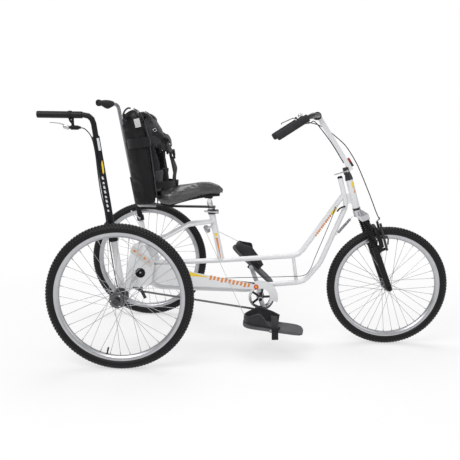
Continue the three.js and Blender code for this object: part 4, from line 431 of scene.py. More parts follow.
rubberValues = {
    "patchNoise": (25,), "patchShades": (0.75, 1.35), "patchPlaces": (0.3, 0.75),
    "grain": (3, 0.7), "dullShares": (0.9, 1.12), "bumpStrength": 0.6,  # grain is (detail, roughness)
}


def rubberMaterial(name, colour, roughness, scale=700, depth=0.00015):
    material, tree, shader = startMaterial(name, colour, roughness, shine=blackShine)
    vector = coordinates(tree)
    patches = noiseOf(tree, vector, *rubberValues["patchNoise"])
    tintBy(tree, shader, patches, colour, rubberValues["patchShades"], rubberValues["patchPlaces"])
    dullBy(tree, shader, patches, roughness, rubberValues["dullShares"])
    grain = noiseOf(tree, vector, scale, *rubberValues["grain"])
    bumpOf(tree, shader, grain, depth, rubberValues["bumpStrength"])
    return material


vinylValues = {
    "patchNoise": (14,), "patchShades": (0.7, 1.4), "patchPlaces": (0.3, 0.75),
    "dullNoise": (40,), "dullShares": (0.8, 1.3), "dentNoise": (16, 2), "dentDepth": 0.002,
    "cellScale": 520, "cellEdge": 0.12, "bump": (0.00018, 0.55),
}


def vinylMaterial(name, colour, roughness=0.33, dents=0.35):
    # fine leathery cells over broad soft dents
    material, tree, shader = startMaterial(name, colour, roughness, shine=blackShine)
    vector = coordinates(tree)
    patches = noiseOf(tree, vector, *vinylValues["patchNoise"])
    tintBy(tree, shader, patches, colour, vinylValues["patchShades"], vinylValues["patchPlaces"])
    wear = noiseOf(tree, vector, *vinylValues["dullNoise"])
    dullBy(tree, shader, wear, roughness, vinylValues["dullShares"])
    dent = tree.nodes.new("ShaderNodeBump")
    dent.inputs["Distance"].default_value = vinylValues["dentDepth"]
    dent.inputs["Strength"].default_value = dents
    tree.links.new(noiseOf(tree, vector, *vinylValues["dentNoise"]), dent.inputs["Height"])
    cells = tree.nodes.new("ShaderNodeTexVoronoi")
    cells.feature = "DISTANCE_TO_EDGE"
    cells.inputs["Scale"].default_value = vinylValues["cellScale"]
    tree.links.new(vector, cells.inputs["Vector"])
    grain = rangeOf(tree, cells.outputs["Distance"], 0, 1, 0.0, vinylValues["cellEdge"])
    bumpOf(tree, shader, grain, *vinylValues["bump"], below=dent.outputs["Normal"])
    return material


weaveValues = {
    "distortion": 0.6, "patchNoise": (35,), "shades": (0.6, 1.6), "places": (0.05, 0.6),
    "bump": (0.0004, 0.6), "sheen": 0.25, "sheenRoughness": 0.5,
}


def weaveMaterial(name, colour, pitch=0.0016, roughness=0.85):
    material, tree, shader = startMaterial(name, colour, roughness, shine=blackShine)
    vector = coordinates(tree)
    waves = []
    for direction in ("X", "Y", "Z"):
        wave = tree.nodes.new("ShaderNodeTexWave")
        wave.bands_direction = direction
        wave.inputs["Scale"].default_value = bandPitch / pitch
        wave.inputs["Distortion"].default_value = weaveValues["distortion"]
        tree.links.new(vector, wave.inputs["Vector"])
        waves.append(wave.outputs["Fac"])
    crossings = [mathOf(tree, "MULTIPLY", wave, waves[2]) for wave in waves[:2]]
    weave = mathOf(tree, "ADD", *crossings)
    patches = noiseOf(tree, vector, *weaveValues["patchNoise"])
    threads = mathOf(tree, "MULTIPLY", weave, patches)
    tintBy(tree, shader, threads, colour, weaveValues["shades"], weaveValues["places"])
    bumpOf(tree, shader, weave, *weaveValues["bump"])
    shader.inputs["Sheen Weight"].default_value = weaveValues["sheen"]
    shader.inputs["Sheen Roughness"].default_value = weaveValues["sheenRoughness"]
    return material


plasticValues = {
    "patchNoise": (20,), "patchShades": (0.82, 1.2), "patchPlaces": (0.3, 0.72),
    "grainNoise": (900, 2), "dullShares": (0.9, 1.15), "bump": (0.00008, 0.5),
}


def plasticMaterial(name, colour, roughness=0.5):
    material, tree, shader = startMaterial(name, colour, roughness, shine=blackShine)
    vector = coordinates(tree)
    patches = noiseOf(tree, vector, *plasticValues["patchNoise"])
    tintBy(tree, shader, patches, colour, plasticValues["patchShades"], plasticValues["patchPlaces"])
    dullBy(tree, shader, patches, roughness, plasticValues["dullShares"])
    bumpOf(tree, shader, noiseOf(tree, vector, *plasticValues["grainNoise"]), *plasticValues["bump"])
    return material


ribbedValues = {"roughness": 0.5, "shades": (0.4, 1.8), "places": (0.2, 0.8), "strength": 0.8}


def ribbedMaterial(name, colour, pitch, depth):
    material, tree, shader = startMaterial(name, colour, ribbedValues["roughness"], shine=blackShine)
    wave = tree.nodes.new("ShaderNodeTexWave")
    wave.bands_direction = "Z"
    wave.inputs["Scale"].default_value = bandPitch / pitch
    tree.links.new(coordinates(tree), wave.inputs["Vector"])
    # the colour follows the same bands as the bump: painted shade in their troughs between the ribs, painted
    # highlight on their crests
    tintBy(tree, shader, wave.outputs["Fac"], colour, ribbedValues["shades"], ribbedValues["places"])
    bumpOf(tree, shader, wave.outputs["Fac"], depth, ribbedValues["strength"])
    return material


def ringDistance(tree, centre, ringRadius=0.0):
    # how far a point is from a ring about the Y axis through the centre
    x, y, z = axesOf(tree, "XYZ")
    radial = diagonalOf(tree, mathOf(tree, "SUBTRACT", x, centre[0]), mathOf(tree, "SUBTRACT", z, centre[2]))
    if not ringRadius:
        return radial
    aside = mathOf(tree, "SUBTRACT", y, centre[1])
    return diagonalOf(tree, mathOf(tree, "SUBTRACT", radial, ringRadius), aside)


treadValues = {
    "colour": (0.012, 0.012, 0.013), "roughness": 0.5, "noise": (700, 3), "bump": (0.00012, 0.5),
    "stops": [(0.0, (0.010, 0.010, 0.011)), (0.12, (0.0035, 0.0035, 0.004)), (0.5, (0.026, 0.026, 0.028)),
              (1.0, (0.046, 0.046, 0.049))],  # from the carcass to the block tops: painted shade darkest in the grooves, painted highlight on the tops
}


def treadMaterial(name, centre, ringRadius, low, high):
    colour, roughness = treadValues["colour"], treadValues["roughness"]
    material, tree, shader = startMaterial(name, colour, roughness, shine=blackShine)
    # the colour follows the height over the carcass: painted shade in the grooves between the blocks, painted
    # highlight on the block tops
    height = rangeOf(tree, ringDistance(tree, centre, ringRadius), 0.0, 1.0, low, high)
    tree.links.new(rampOf(tree, height, treadValues["stops"]), shader.inputs["Base Color"])
    bumpOf(tree, shader, noiseOf(tree, coordinates(tree), *treadValues["noise"]), *treadValues["bump"])
    return material


partedValues = {"roughness": 0.32, "blur": 0.0003, "noise": (400, 2), "bump": (0.00002, 0.3)}


def partedMaterial(name, inner, outer, centre, edge, gloss=1.0):
    # one colour within a round of the given radius and another beyond it
    material, tree, shader = startMaterial(name, inner, partedValues["roughness"])
    blur = partedValues["blur"]
    share = rangeOf(tree, ringDistance(tree, centre), 0.0, 1.0, edge - blur, edge + blur)
    tree.links.new(rampOf(tree, share, [(0.0, inner), (1.0, outer)]), shader.inputs["Base Color"])
    tree.links.new(mathOf(tree, "MULTIPLY", share, gloss), shader.inputs["Metallic"])
    bumpOf(tree, shader, noiseOf(tree, coordinates(tree), *partedValues["noise"]), *partedValues["bump"])
    return material


steppedValues = {
    "roughness": 0.3, "blur": 0.0004, "patchNoise": (9,), "patchShades": (0.95, 1.0), "coat": 0.4,
}


def steppedMaterial(name, base, accent, edge, behind=None, below=False):
    # the accent above a height, or below it, and with behind only rearward of that place
    material, tree, shader = startMaterial(name, base, steppedValues["roughness"])
    x, z = axesOf(tree, "XZ")
    blur = steppedValues["blur"]
    side = -blur if below else blur
    share = rangeOf(tree, z, 0.0, 1.0, edge - side, edge + side)
    if behind is not None:
        share = mathOf(tree, "MULTIPLY", share, rangeOf(tree, x, 1.0, 0.0, behind - blur, behind + blur))
    patches = noiseOf(tree, coordinates(tree), *steppedValues["patchNoise"])
    dull = tree.nodes.new("ShaderNodeVectorMath")
    dull.operation = "SCALE"
    tree.links.new(rampOf(tree, share, [(0.0, base), (1.0, accent)]), dull.inputs[0])
    tree.links.new(rangeOf(tree, patches, *steppedValues["patchShades"]), dull.inputs["Scale"])
    tree.links.new(dull.outputs["Vector"], shader.inputs["Base Color"])
    shader.inputs["Coat Weight"].default_value = steppedValues["coat"]
    return material


colours = {
    "white": (0.80, 0.805, 0.82), "black": (0.010, 0.010, 0.011), "satinBlack": (0.012, 0.012, 0.013),
    "silver": (0.62, 0.63, 0.65), "polished": (0.78, 0.78, 0.80), "lensRed": (0.30, 0.012, 0.010),
}

whitePaint = paintMaterial("whitePaint", colours["white"])
blackPaint = paintMaterial("blackPaint", colours["black"], 0.35, 0.3)
legPaint = paintMaterial("legPaint", (0.0065, 0.0065, 0.007), 0.42, 0.0)
setSockets(legPaint, {"Specular IOR Level": blackShine})

rimMetal = metalMaterial("rimMetal", (0.55, 0.56, 0.58), 0.34)
spokeMetal = metalMaterial("spokeMetal", (0.48, 0.49, 0.51), 0.3)
hubMetal = metalMaterial("hubMetal", (0.16, 0.16, 0.17), 0.42)
boltMetal = metalMaterial("boltMetal", (0.7, 0.71, 0.73), 0.2)
alloyMetal = metalMaterial("alloyMetal", colours["silver"], 0.3)
axleMetal = metalMaterial("axleMetal", (0.42, 0.42, 0.44), 0.35, (1, 0.08, 1))
chainMetal = metalMaterial("chainMetal", (0.2, 0.2, 0.21), 0.42)
chromeMetal = metalMaterial("chromeMetal", (0.78, 0.79, 0.81), 0.09, scale=80)
clusterMetal = metalMaterial("clusterMetal", (0.035, 0.035, 0.037), 0.4)
darkSteel = metalMaterial("darkSteel", (0.075, 0.076, 0.08), 0.36)
barSteel = metalMaterial("barSteel", (0.27, 0.275, 0.285), 0.22)
springSteel = metalMaterial("springSteel", (0.36, 0.365, 0.38), 0.25)

tyreRubber = rubberMaterial("tyreRubber", (0.011, 0.0115, 0.013), 0.62)
foamRubber = rubberMaterial("foamRubber", (0.034, 0.034, 0.037), 0.9, 1400, 0.0005)
handleBlack = rubberMaterial("handleBlack", (0.008, 0.008, 0.0095), 0.4, 300, 0.00005)
cableBlack = rubberMaterial("cableBlack", (0.012, 0.018, 0.03), 0.4, 300, 0.00005)
cableGrey = rubberMaterial("cableGrey", (0.32, 0.33, 0.34), 0.45, 300, 0.00005)
bootRubber = ribbedMaterial("bootRubber", (0.009, 0.009, 0.010), 0.0085, 0.003)

blackVinyl = vinylMaterial("blackVinyl", (0.0065, 0.0065, 0.0075))
# the piping is real trim, but its grey, lighter than the pad's vinyl, is a painted highlight along the edges
# it runs on
pipingVinyl = vinylMaterial("pipingVinyl", (0.05, 0.05, 0.055), 0.28)
saddleVinyl = vinylMaterial("saddleVinyl", colours["black"], 0.36, 0.05)
setSockets(saddleVinyl, {
    "Specular IOR Level": 1.0, "Coat Weight": 0.4, "Coat Roughness": 0.2, "Coat IOR": 1.6,
})

webbing = weaveMaterial("webbing", (0.010, 0.010, 0.012))
padCloth = weaveMaterial("padCloth", (0.024, 0.024, 0.027), 0.0011)
greyCloth = weaveMaterial("greyCloth", (0.06, 0.06, 0.065), 0.0011)
cupCloth = weaveMaterial("cupCloth", (0.030, 0.030, 0.033), 0.0014)
tagCloth = weaveMaterial("tagCloth", (0.72, 0.72, 0.70), 0.0009)
whiteCord = weaveMaterial("whiteCord", (0.6, 0.6, 0.57), 0.0012)

blackPlastic = plasticMaterial("blackPlastic", (0.008, 0.008, 0.009))
greyPlastic = plasticMaterial("greyPlastic", (0.2, 0.205, 0.215), 0.55)
plateRubber = plasticMaterial("plateRubber", (0.10, 0.102, 0.106), 0.6)

orangeMark = paintMaterial("orangeMark", (0.80, 0.26, 0.04), 0.3, 0.4)
yellowMark = paintMaterial("yellowMark", (0.93, 0.66, 0.03), 0.3, 0.4)
redMark = paintMaterial("redMark", (0.75, 0.09, 0.03), 0.3, 0.4)
tagPaint = paintMaterial("tagPaint", (0.70, 0.74, 0.78), 0.4, 0.1)
stickerPaper = paintMaterial("stickerPaper", (0.66, 0.65, 0.62), 0.4, 0.1)
stickerPink = paintMaterial("stickerPink", (0.72, 0.42, 0.36), 0.4, 0.1)

slotMaterials = {
    "white_paint": whitePaint, "wheel_metal": rimMetal, "axle_steel": axleMetal, "tyre": tyreRubber,
    "chain_steel": chainMetal, "black_metal": blackPaint, "polished": chromeMetal, "alloy": alloyMetal,
    "grip_foam": foamRubber, "handle_black": handleBlack, "black_plastic": blackPlastic,
    "grey_plastic": greyPlastic, "vinyl": blackVinyl, "webbing": webbing, "cord": whiteCord,
    "cable_black": cableBlack, "cable_grey": cableGrey, "boot_rubber": bootRubber,
    "reflector_red": blackPlastic,
}

crankAxle = (0.027, 0, 0.245)
windowCentre = (-0.571, 0, 0.364)  # the round window of the near side plate
paintEdges = {
    "chainring": 0.0478, "window": 0.0285, "supportRise": 0.70, "supportRear": -0.50,
    "collarRise": 0.6525, "collarRear": 0.0, "lensRise": 0.921,
}
nodeMaterials = {
    "rear_sprocket": blackPaint, "chain_tensioner": blackPaint, "cord_pulley": alloyMetal,
    "brake_lever": darkSteel, "rear_axle": darkSteel, "handlebar": blackPaint, "fork_lowers": legPaint,
    "push_bar_left": barSteel, "centring_spring": springSteel, "foot_plate_left": plateRubber,
    "foot_plate_right": plateRubber,
    "chainring": partedMaterial("ringMetal", colours["satinBlack"], colours["polished"], crankAxle,
                                paintEdges["chainring"]),
    "chain_guard": partedMaterial("guardPaint", colours["black"], colours["white"], windowCentre,
                                  paintEdges["window"], gloss=0.0),
    "back_support": steppedMaterial("supportPaint", colours["satinBlack"], colours["silver"],
                                    paintEdges["supportRise"], paintEdges["supportRear"], below=True),
    "main_frame": steppedMaterial("framePaint", colours["white"], colours["satinBlack"],
                                  paintEdges["collarRise"], paintEdges["collarRear"]),
    "reflector": steppedMaterial("reflectorPlastic", colours["black"], colours["lensRed"],
                                 paintEdges["lensRise"]),
}

creaseDegrees = 46


def dressNodes():
    for row in frame["record"]["subparts"]:
        node = nodes[row["node"]]
        node.data.materials.clear()
        node.data.materials.append(nodeMaterials.get(row["node"], slotMaterials[row["material_slot"]]))
        node.data.polygons.foreach_set("use_smooth", [True] * len(node.data.polygons))
        if node.data.has_custom_normals:
            makeActive(node)
            bpy.ops.mesh.customdata_custom_splitnormals_clear()
        weld = node.modifiers.new("weld", "WELD")
        weld.merge_threshold = mergeDistance
        split = node.modifiers.new("creases", "EDGE_SPLIT")
        split.split_angle = math.radians(creaseDegrees)
    print("nodes dressed", len(nodes))


cameraValues = {
    "lens": 44.69, "sensor": 36, "place": (-0.06553, -2.83143, 1.03625), "yaw": 1.3265, "pitch": 9.2928,
    "roll": 0.8013,
}


def placeCamera():
    yaw, pitch, roll = (math.radians(cameraValues[k]) for k in ("yaw", "pitch", "roll"))
    ahead = Vector((-math.sin(yaw) * math.cos(pitch), math.cos(yaw) * math.cos(pitch), -math.sin(pitch)))
    level = ahead.cross(Vector((0, 0, 1))).normalized()
    upright = level.cross(ahead)
    right = level * math.cos(roll) + upright * math.sin(roll)
    up = upright * math.cos(roll) - level * math.sin(roll)
    data = bpy.data.cameras.new("camera")
    data.lens = cameraValues["lens"]
    data.sensor_width = cameraValues["sensor"]
    camera = bpy.data.objects.new("camera", data)
    camera.matrix_world = Matrix((right, up, -ahead)).transposed().to_4x4()
    camera.location = cameraValues["place"]
    bpy.context.scene.collection.objects.link(camera)
    bpy.context.scene.camera = camera
    print("camera placed")


floorValues = {
    "size": 60, "drop": 0.0005, "grey": 0.93, "roughness": 0.9, "shine": 0.1, "patchNoise": (2,),
    "patchShades": (0.995, 1.0), "nearGlow": 0.58, "nearReach": 0.9, "farReach": 2.2,
}


def placeFloor():
    # pale paper that fades to white away from the object, only to the camera and in reflections
    deselectAll()
    bpy.ops.mesh.primitive_plane_add(size=floorValues["size"], location=(0, 0, -floorValues["drop"]))
    floor = namedPiece("floor")
    paper = (floorValues["grey"],) * 3
    material, tree, shader = startMaterial("floorPaper", paper, floorValues["roughness"],
                                           shine=floorValues["shine"])
    vector = coordinates(tree)
    patches = noiseOf(tree, vector, *floorValues["patchNoise"])
    tintBy(tree, shader, patches, paper, floorValues["patchShades"])
    glow = tree.nodes.new("ShaderNodeEmission")
    glow.inputs["Strength"].default_value = 1.0
    away = tree.nodes.new("ShaderNodeVectorMath")
    away.operation = "LENGTH"
    tree.links.new(vector, away.inputs[0])
    rays = tree.nodes.new("ShaderNodeLightPath")
    seen = mathOf(tree, "MAXIMUM", rays.outputs["Is Camera Ray"], rays.outputs["Is Glossy Ray"])
    pale = rangeOf(tree, away.outputs["Value"], floorValues["nearGlow"], 1.0, floorValues["nearReach"],
                   floorValues["farReach"])
    blend = tree.nodes.new("ShaderNodeMixShader")
    tree.links.new(mathOf(tree, "MULTIPLY", seen, pale), blend.inputs["Fac"])
    tree.links.new(shader.outputs["BSDF"], blend.inputs[1])
    tree.links.new(glow.outputs["Emission"], blend.inputs[2])
    tree.links.new(blend.outputs["Shader"], tree.nodes["Material Output"].inputs["Surface"])
    floor.data.materials.append(material)


lampValues = {
    "key": {"place": (-1.6, -2.6, 3.4), "target": (0, 0, 0.4), "size": (2.6, 2.0), "power": 78},
    "fill": {"place": (2.8, -2.0, 2.2), "target": (0, 0, 0.5), "size": (2.4, 2.4), "power": 20},
    "top": {"place": (0.2, 1.2, 3.6), "target": (0, 0, 0.3), "size": (3.6, 2.2), "power": 66},
}


def placeLamps():
    for name, values in lampValues.items():
        data = bpy.data.lights.new(name, "AREA")
        data.shape = "RECTANGLE"
        data.size, data.size_y = values["size"]
        data.energy = values["power"]
        lamp = bpy.data.objects.new(name, data)
        lamp.location = values["place"]
        aim = Vector(values["target"]) - Vector(values["place"])
        lamp.rotation_euler = aim.to_track_quat("-Z", "Y").to_euler()
        bpy.context.scene.collection.objects.link(lamp)


worldStrength = 0.42


def placeWorld():
    world = bpy.data.worlds.new("studio")
    bpy.context.scene.world = world
    world.use_nodes = True
    tree = world.node_tree
    tree.nodes.clear()
    output = tree.nodes.new("ShaderNodeOutputWorld")
    mix = tree.nodes.new("ShaderNodeMixShader")
    for socket, strength in ((1, worldStrength), (2, 1.0)):  # what lights the object, and what is seen
        light = tree.nodes.new("ShaderNodeBackground")
        light.inputs["Strength"].default_value = strength
        light.inputs["Color"].default_value = (1, 1, 1, 1)
        tree.links.new(light.outputs["Background"], mix.inputs[socket])
    rays = tree.nodes.new("ShaderNodeLightPath")
    seen = mathOf(tree, "MAXIMUM", rays.outputs["Is Camera Ray"], rays.outputs["Is Transmission Ray"])
    tree.links.new(seen, mix.inputs["Fac"])
    tree.links.new(mix.outputs["Shader"], output.inputs["Surface"])
    bpy.context.scene.view_settings.view_transform = "Standard"
    print("studio placed")


placeCamera()
placeFloor()
placeLamps()
placeWorld()
dressNodes()

tyreValues = {
    "halfWidth": 0.0225, "depth": 0.0405, "carcassShare": 0.98, "wrap": 112, "wrapSteps": 16, "steps": 128,
    "bead": [(0.0008, 0.56), (-0.001, 0.5)],  # rise over the inner edge, share of half the width
    "blockHeight": 0.0026, "blockTaper": 0.78, "treadFrom": 0.0002,
    "blocks": [  # place across, length, width, start as a share of the pitch
        (0.0042, 0.0072, 0.0056, 0.0), (-0.0042, 0.0072, 0.0056, 0.5), (0.0118, 0.0066, 0.0062, 0.25),
        (-0.0118, 0.0066, 0.0062, 0.75), (0.0176, 0.0056, 0.0058, 0.5), (-0.0176, 0.0056, 0.0058, 0.0),
        (0.0212, 0.0048, 0.006, 0.0), (-0.0212, 0.0048, 0.006, 0.5)],
    "linePlace": 0.99, "line": [(0.004, 0.985), (0.0048, 1.02), (0.0056, 0.985)],
}


def tyreOutline(radius):
    half, steps = tyreValues["halfWidth"], tyreValues["wrapSteps"]
    carcass = half * tyreValues["carcassShare"]
    middle = radius - tyreValues["blockHeight"] - carcass
    outline = []
    for k in range(steps + 1):  # the round of the tread and sidewalls
        angle = math.radians(tyreValues["wrap"] * (2 * k / steps - 1))
        outline.append((middle + carcass * math.cos(angle), half * math.sin(angle)))
    inner = radius - tyreValues["depth"]
    bead = [(inner + rise, half * share) for rise, share in tyreValues["bead"]]
    return outline + bead + [(reach, -along) for reach, along in reversed(bead)], middle


def treadBlock(name, middle, centre, across, length, width):
    half = tyreValues["halfWidth"]
    angle = math.asin(max(-1, min(1, across / half)))
    outwards = Vector((math.cos(angle), math.sin(angle), 0))
    base = Vector(centre) + Vector((middle, 0, 0)) + outwards * (half * tyreValues["carcassShare"])
    deselectAll()
    bpy.ops.mesh.primitive_cube_add(size=1, location=(0, 0, 0))
    block = namedPiece(name)
    height = tyreValues["blockHeight"] * 2  # half of it is sunk in the carcass
    for vertex in block.data.vertices:
        narrow = tyreValues["blockTaper"] if vertex.co.x > 0 else 1.0
        vertex.co.x *= height
        vertex.co.y *= width * narrow
        vertex.co.z *= length * narrow
    block.data.transform(Matrix.Translation(base) @ Matrix.Rotation(angle, 4, "Z"))
    return block


def buildTyre(name, centre, radius, count, node, body):
    outline, middle = tyreOutline(radius)
    tyre = spunProfile(name, outline, centre, tyreValues["steps"])
    rings = []
    for index, (across, length, width, share) in enumerate(tyreValues["blocks"]):
        block = treadBlock(name + "Block" + str(index), middle, centre, across, length, width)
        rings.append(repeatRound(block, count, centre, 360 * share / count))
    for bead in (-1, 1):  # raised lines round each sidewall
        side = bead * (tyreValues["halfWidth"] * tyreValues["linePlace"])
        line = [(middle + rise, side * share) for rise, share in tyreValues["line"]]
        rings.append(spunProfile(name + "Line" + str(bead), line, centre, tyreValues["steps"]))
    tyre = joinPieces(name, [tyre] + rings)
    # the heights over which the painted shade of the grooves turns into the painted highlight of the block
    # tops
    carcass = tyreValues["halfWidth"] * tyreValues["carcassShare"]
    low, high = carcass - tyreValues["treadFrom"], carcass + tyreValues["blockHeight"]
    finishPiece(tyre, treadMaterial(name + "Tread", centre, middle, low, high), body, 40)
    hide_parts(node)


rimValues = {
    "halfWidth": 0.0132, "depth": 0.0205, "lip": 0.0022, "wallRise": 0.003, "wellDepth": 0.004, "steps": 128,
    "sideShares": [(0.5, 1.0), (0.58, 0.93), (0.9, 0.55), (1.0, 0.3)],  # of the depth and half the width
}
valveValues = {
    "inset": 0.001,
    "rods": {"Stem": (0.0, 0.028, 0.0032, 0.0032, 12), "Cap": (0.014, 0.031, 0.0041, 0.0036, 12),
             "Nut": (-0.0005, 0.003, 0.0058, 0.0058, 6)},  # from, to, radius, end radius, sides
}


def rimOutline(radius):
    outer = radius - tyreValues["depth"]
    half, depth = rimValues["halfWidth"], rimValues["depth"]
    inside = half - rimValues["lip"]
    top, well = outer + rimValues["wallRise"], outer - rimValues["wellDepth"]
    side = [(top, half)] + [(outer - depth * down, half * wide) for down, wide in rimValues["sideShares"]]
    other = [(reach, -along) for reach, along in reversed(side)]
    return side + other + [(top, -inside), (well, -inside), (well, inside), (top, inside)]


def buildRim(name, centre, radius, valveDegrees, body):
    rim = spunProfile(name, rimOutline(radius), centre, rimValues["steps"])
    finishPiece(rim, rimMetal, body, 30)
    edge = radius - tyreValues["depth"] - rimValues["depth"] + valveValues["inset"]
    foot = Vector(centre) + Vector((edge, 0, 0))
    rods = []
    for word, (start, end, size, endSize, sides) in valveValues["rods"].items():
        rods.append(rodBetween(name + word, foot - Vector((start, 0, 0)), foot - Vector((end, 0, 0)), size,
                               sides, endSize))
    valve = joinPieces(name + "_valve", rods)
    turnAbout(valve, valveDegrees, (0, 1, 0), centre)
    finishPiece(valve, blackPlastic, body, 40)
    return rim


spokeValues = {
    "count": 36, "lean": 66, "radius": 0.00112, "sides": 8, "stagger": 0.0018,
    "rimPlace": 0.003, "rimShare": 0.9,
    "nippleRadius": 0.0021, "nippleInside": 0.013, "nippleOutside": 0.004,
    "elbowRadius": 0.0016, "elbowHalf": 0.0032,
}


def buildSpokes(name, centre, radius, flanges, flangeRadius, body):
    # each side's spokes leave the flange leaning forward and back in turn
    values, middle = spokeValues, Vector(centre)
    sides, step = values["sides"], 360 / values["count"]
    inner = radius - tyreValues["depth"] - rimValues["depth"] * values["rimShare"]
    across = Vector((0, values["elbowHalf"], 0))
    sets = []
    for side, offset in flanges:
        for lean in (-1, 1):
            turn = math.radians(lean * values["lean"])
            foot = Vector((flangeRadius * math.cos(turn), offset + side * lean * values["stagger"],
                           flangeRadius * math.sin(turn)))
            head = Vector((inner, side * values["rimPlace"], 0))
            along = (head - foot).normalized()
            foot, head = middle + foot, middle + head
            spoke = rodBetween(name + "Spoke", foot, head, values["radius"], sides)
            nipple = rodBetween(name + "Nipple", head - along * values["nippleInside"],
                                head + along * values["nippleOutside"], values["nippleRadius"], sides)
            elbow = rodBetween(name + "Elbow", foot - across, foot + across, values["elbowRadius"], sides)
            unit = joinPieces(name + "Spoke" + str(side) + str(lean), [spoke, nipple, elbow])
            first = (step if side > 0 else 0) + (2 * step if lean > 0 else 0)
            sets.append(repeatRound(unit, values["count"] // 4, centre, first))
    spokes = joinPieces(name, sets)
    finishPiece(spokes, spokeMetal, body, 50)


rearHubValues = {
    "outline": [  # (radius, place along the axle); the face with the bolts looks away from the frame
        (0.0112, -0.034), (0.021, -0.034), (0.021, -0.029), (0.036, -0.0285), (0.037, -0.0265),
        (0.036, -0.0235), (0.021, -0.0225), (0.0195, 0.0), (0.021, 0.042), (0.0345, 0.0435), (0.0372, 0.0455),
        (0.0372, 0.0485), (0.036, 0.0500), (0.0305, 0.0502), (0.0295, 0.0545), (0.0275, 0.0588),
        (0.0205, 0.0592), (0.0188, 0.0572), (0.0112, 0.0572)],
    "steps": 64, "outerFlange": 0.047, "innerFlange": 0.026, "flangeRadius": 0.0335,
    "scallops": 16, "scallopDepth": 0.045, "scallopReach": 0.033, "scallopPlace": 0.04,
    "bolts": (180, 60, 300), "boltCircle": 0.0262, "boltFoot": 0.0570, "boltHeight": 0.0052,
    "boltRadius": 0.0041, "boltEdge": 0.0006, "capRadius": 0.0062, "capEnd": 0.0665, "capSides": 24,
}


def buildRearHub(name, centre, side, body):
    # side is +1 on the left
    values, middle = rearHubValues, Vector(centre)
    outline = [(reach, side * along) for reach, along in values["outline"]]
    hub = spunProfile(name, outline, centre, values["steps"])
    for vertex in hub.data.vertices:  # scallops round the outer rim of the face
        arm = vertex.co - middle
        if math.hypot(arm.x, arm.z) > values["scallopReach"] and side * arm.y > values["scallopPlace"]:
            wave = 0.5 + 0.5 * math.cos(math.atan2(arm.z, arm.x) * values["scallops"])
            shrink = 1 - values["scallopDepth"] * wave
            vertex.co = middle + Vector((arm.x * shrink, arm.y, arm.z * shrink))
    bolts = []
    for degrees in values["bolts"]:
        turn = math.radians(degrees)
        foot = middle + Vector((values["boltCircle"] * math.cos(turn), side * values["boltFoot"],
                                values["boltCircle"] * math.sin(turn)))
        head = foot + Vector((0, side * values["boltHeight"], 0))
        bolt = rodBetween(name + "Bolt", foot, head, values["boltRadius"], 6)
        edge = bolt.modifiers.new("edge", "BEVEL")
        edge.width = values["boltEdge"]
        edge.segments = 2
        applyAll(bolt)
        bolts.append(bolt)
    ends = [middle + Vector((0, side * values[key], 0)) for key in ("boltFoot", "capEnd")]
    bolts.append(rodBetween(name + "Cap", *ends, values["capRadius"], values["capSides"]))
    bolts = joinPieces(name + "_bolts", bolts)
    finishPiece(bolts, boltMetal, body, 40)
    finishPiece(hub, hubMetal, body, 35)


frontHubValues = {
    "half": [(0.0068, 0.0335), (0.0095, 0.0335), (0.0098, 0.0322), (0.0150, 0.0318), (0.0153, 0.0300),
             (0.0195, 0.0298), (0.0205, 0.0285), (0.0205, 0.0268), (0.0195, 0.0256), (0.0150, 0.0252),
             (0.0125, 0.0200), (0.0120, 0.0)],  # (radius, place along the axle)
    "steps": 48, "flange": 0.0277, "flangeRadius": 0.0178,
}


def buildFrontHub(name, centre, body):
    half = frontHubValues["half"]
    outline = half + [(reach, -along) for reach, along in reversed(half[:-1])]
    hub = spunProfile(name, outline, centre, frontHubValues["steps"])
    finishPiece(hub, hubMetal, body, 35)


wheelValues = [
    {"name": "rear_wheel_right", "centre": (-0.605, -0.406, 0.330), "radius": 0.330, "side": -1,
     "body": "rear_wheels", "valve": 103, "tyre": "rear_tyre_right", "blocks": 136},
    {"name": "rear_wheel_left", "centre": (-0.605, 0.406, 0.330), "radius": 0.330, "side": 1,
     "body": "rear_wheels", "valve": 20, "tyre": "rear_tyre_left", "blocks": 136},
    {"name": "front_wheel", "centre": (0.665, 0, 0.302), "radius": 0.302, "side": 0,
     "body": "front_wheel", "valve": -91, "tyre": "front_tyre", "blocks": 124},
]


def buildWheels():
    for wheel in wheelValues:
        name, centre, radius, body = (wheel[key] for key in ("name", "centre", "radius", "body"))
        side = wheel["side"]
        buildTyre(wheel["tyre"] + "_tread", centre, radius, wheel["blocks"], wheel["tyre"], body)
        rim = buildRim(name + "_rim", centre, radius, wheel["valve"], body)
        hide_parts(wheel["name"])
        if side:
            buildRearHub(name + "_hub", centre, side, body)
            flanges = [(side, side * rearHubValues["outerFlange"]),
                       (-side, -side * rearHubValues["innerFlange"])]
            flangeRadius = rearHubValues["flangeRadius"]
        else:
            buildFrontHub(name + "_hub", centre, body)
            flanges = [(1, frontHubValues["flange"]), (-1, -frontHubValues["flange"])]
            flangeRadius = frontHubValues["flangeRadius"]
        buildSpokes(name + "_spokes", centre, radius, flanges, flangeRadius, body)
        print("wheel built", name)


buildWheels()

puffValues = {"relax": 0.5, "rounds": 6, "quality": 5, "steps": 20}


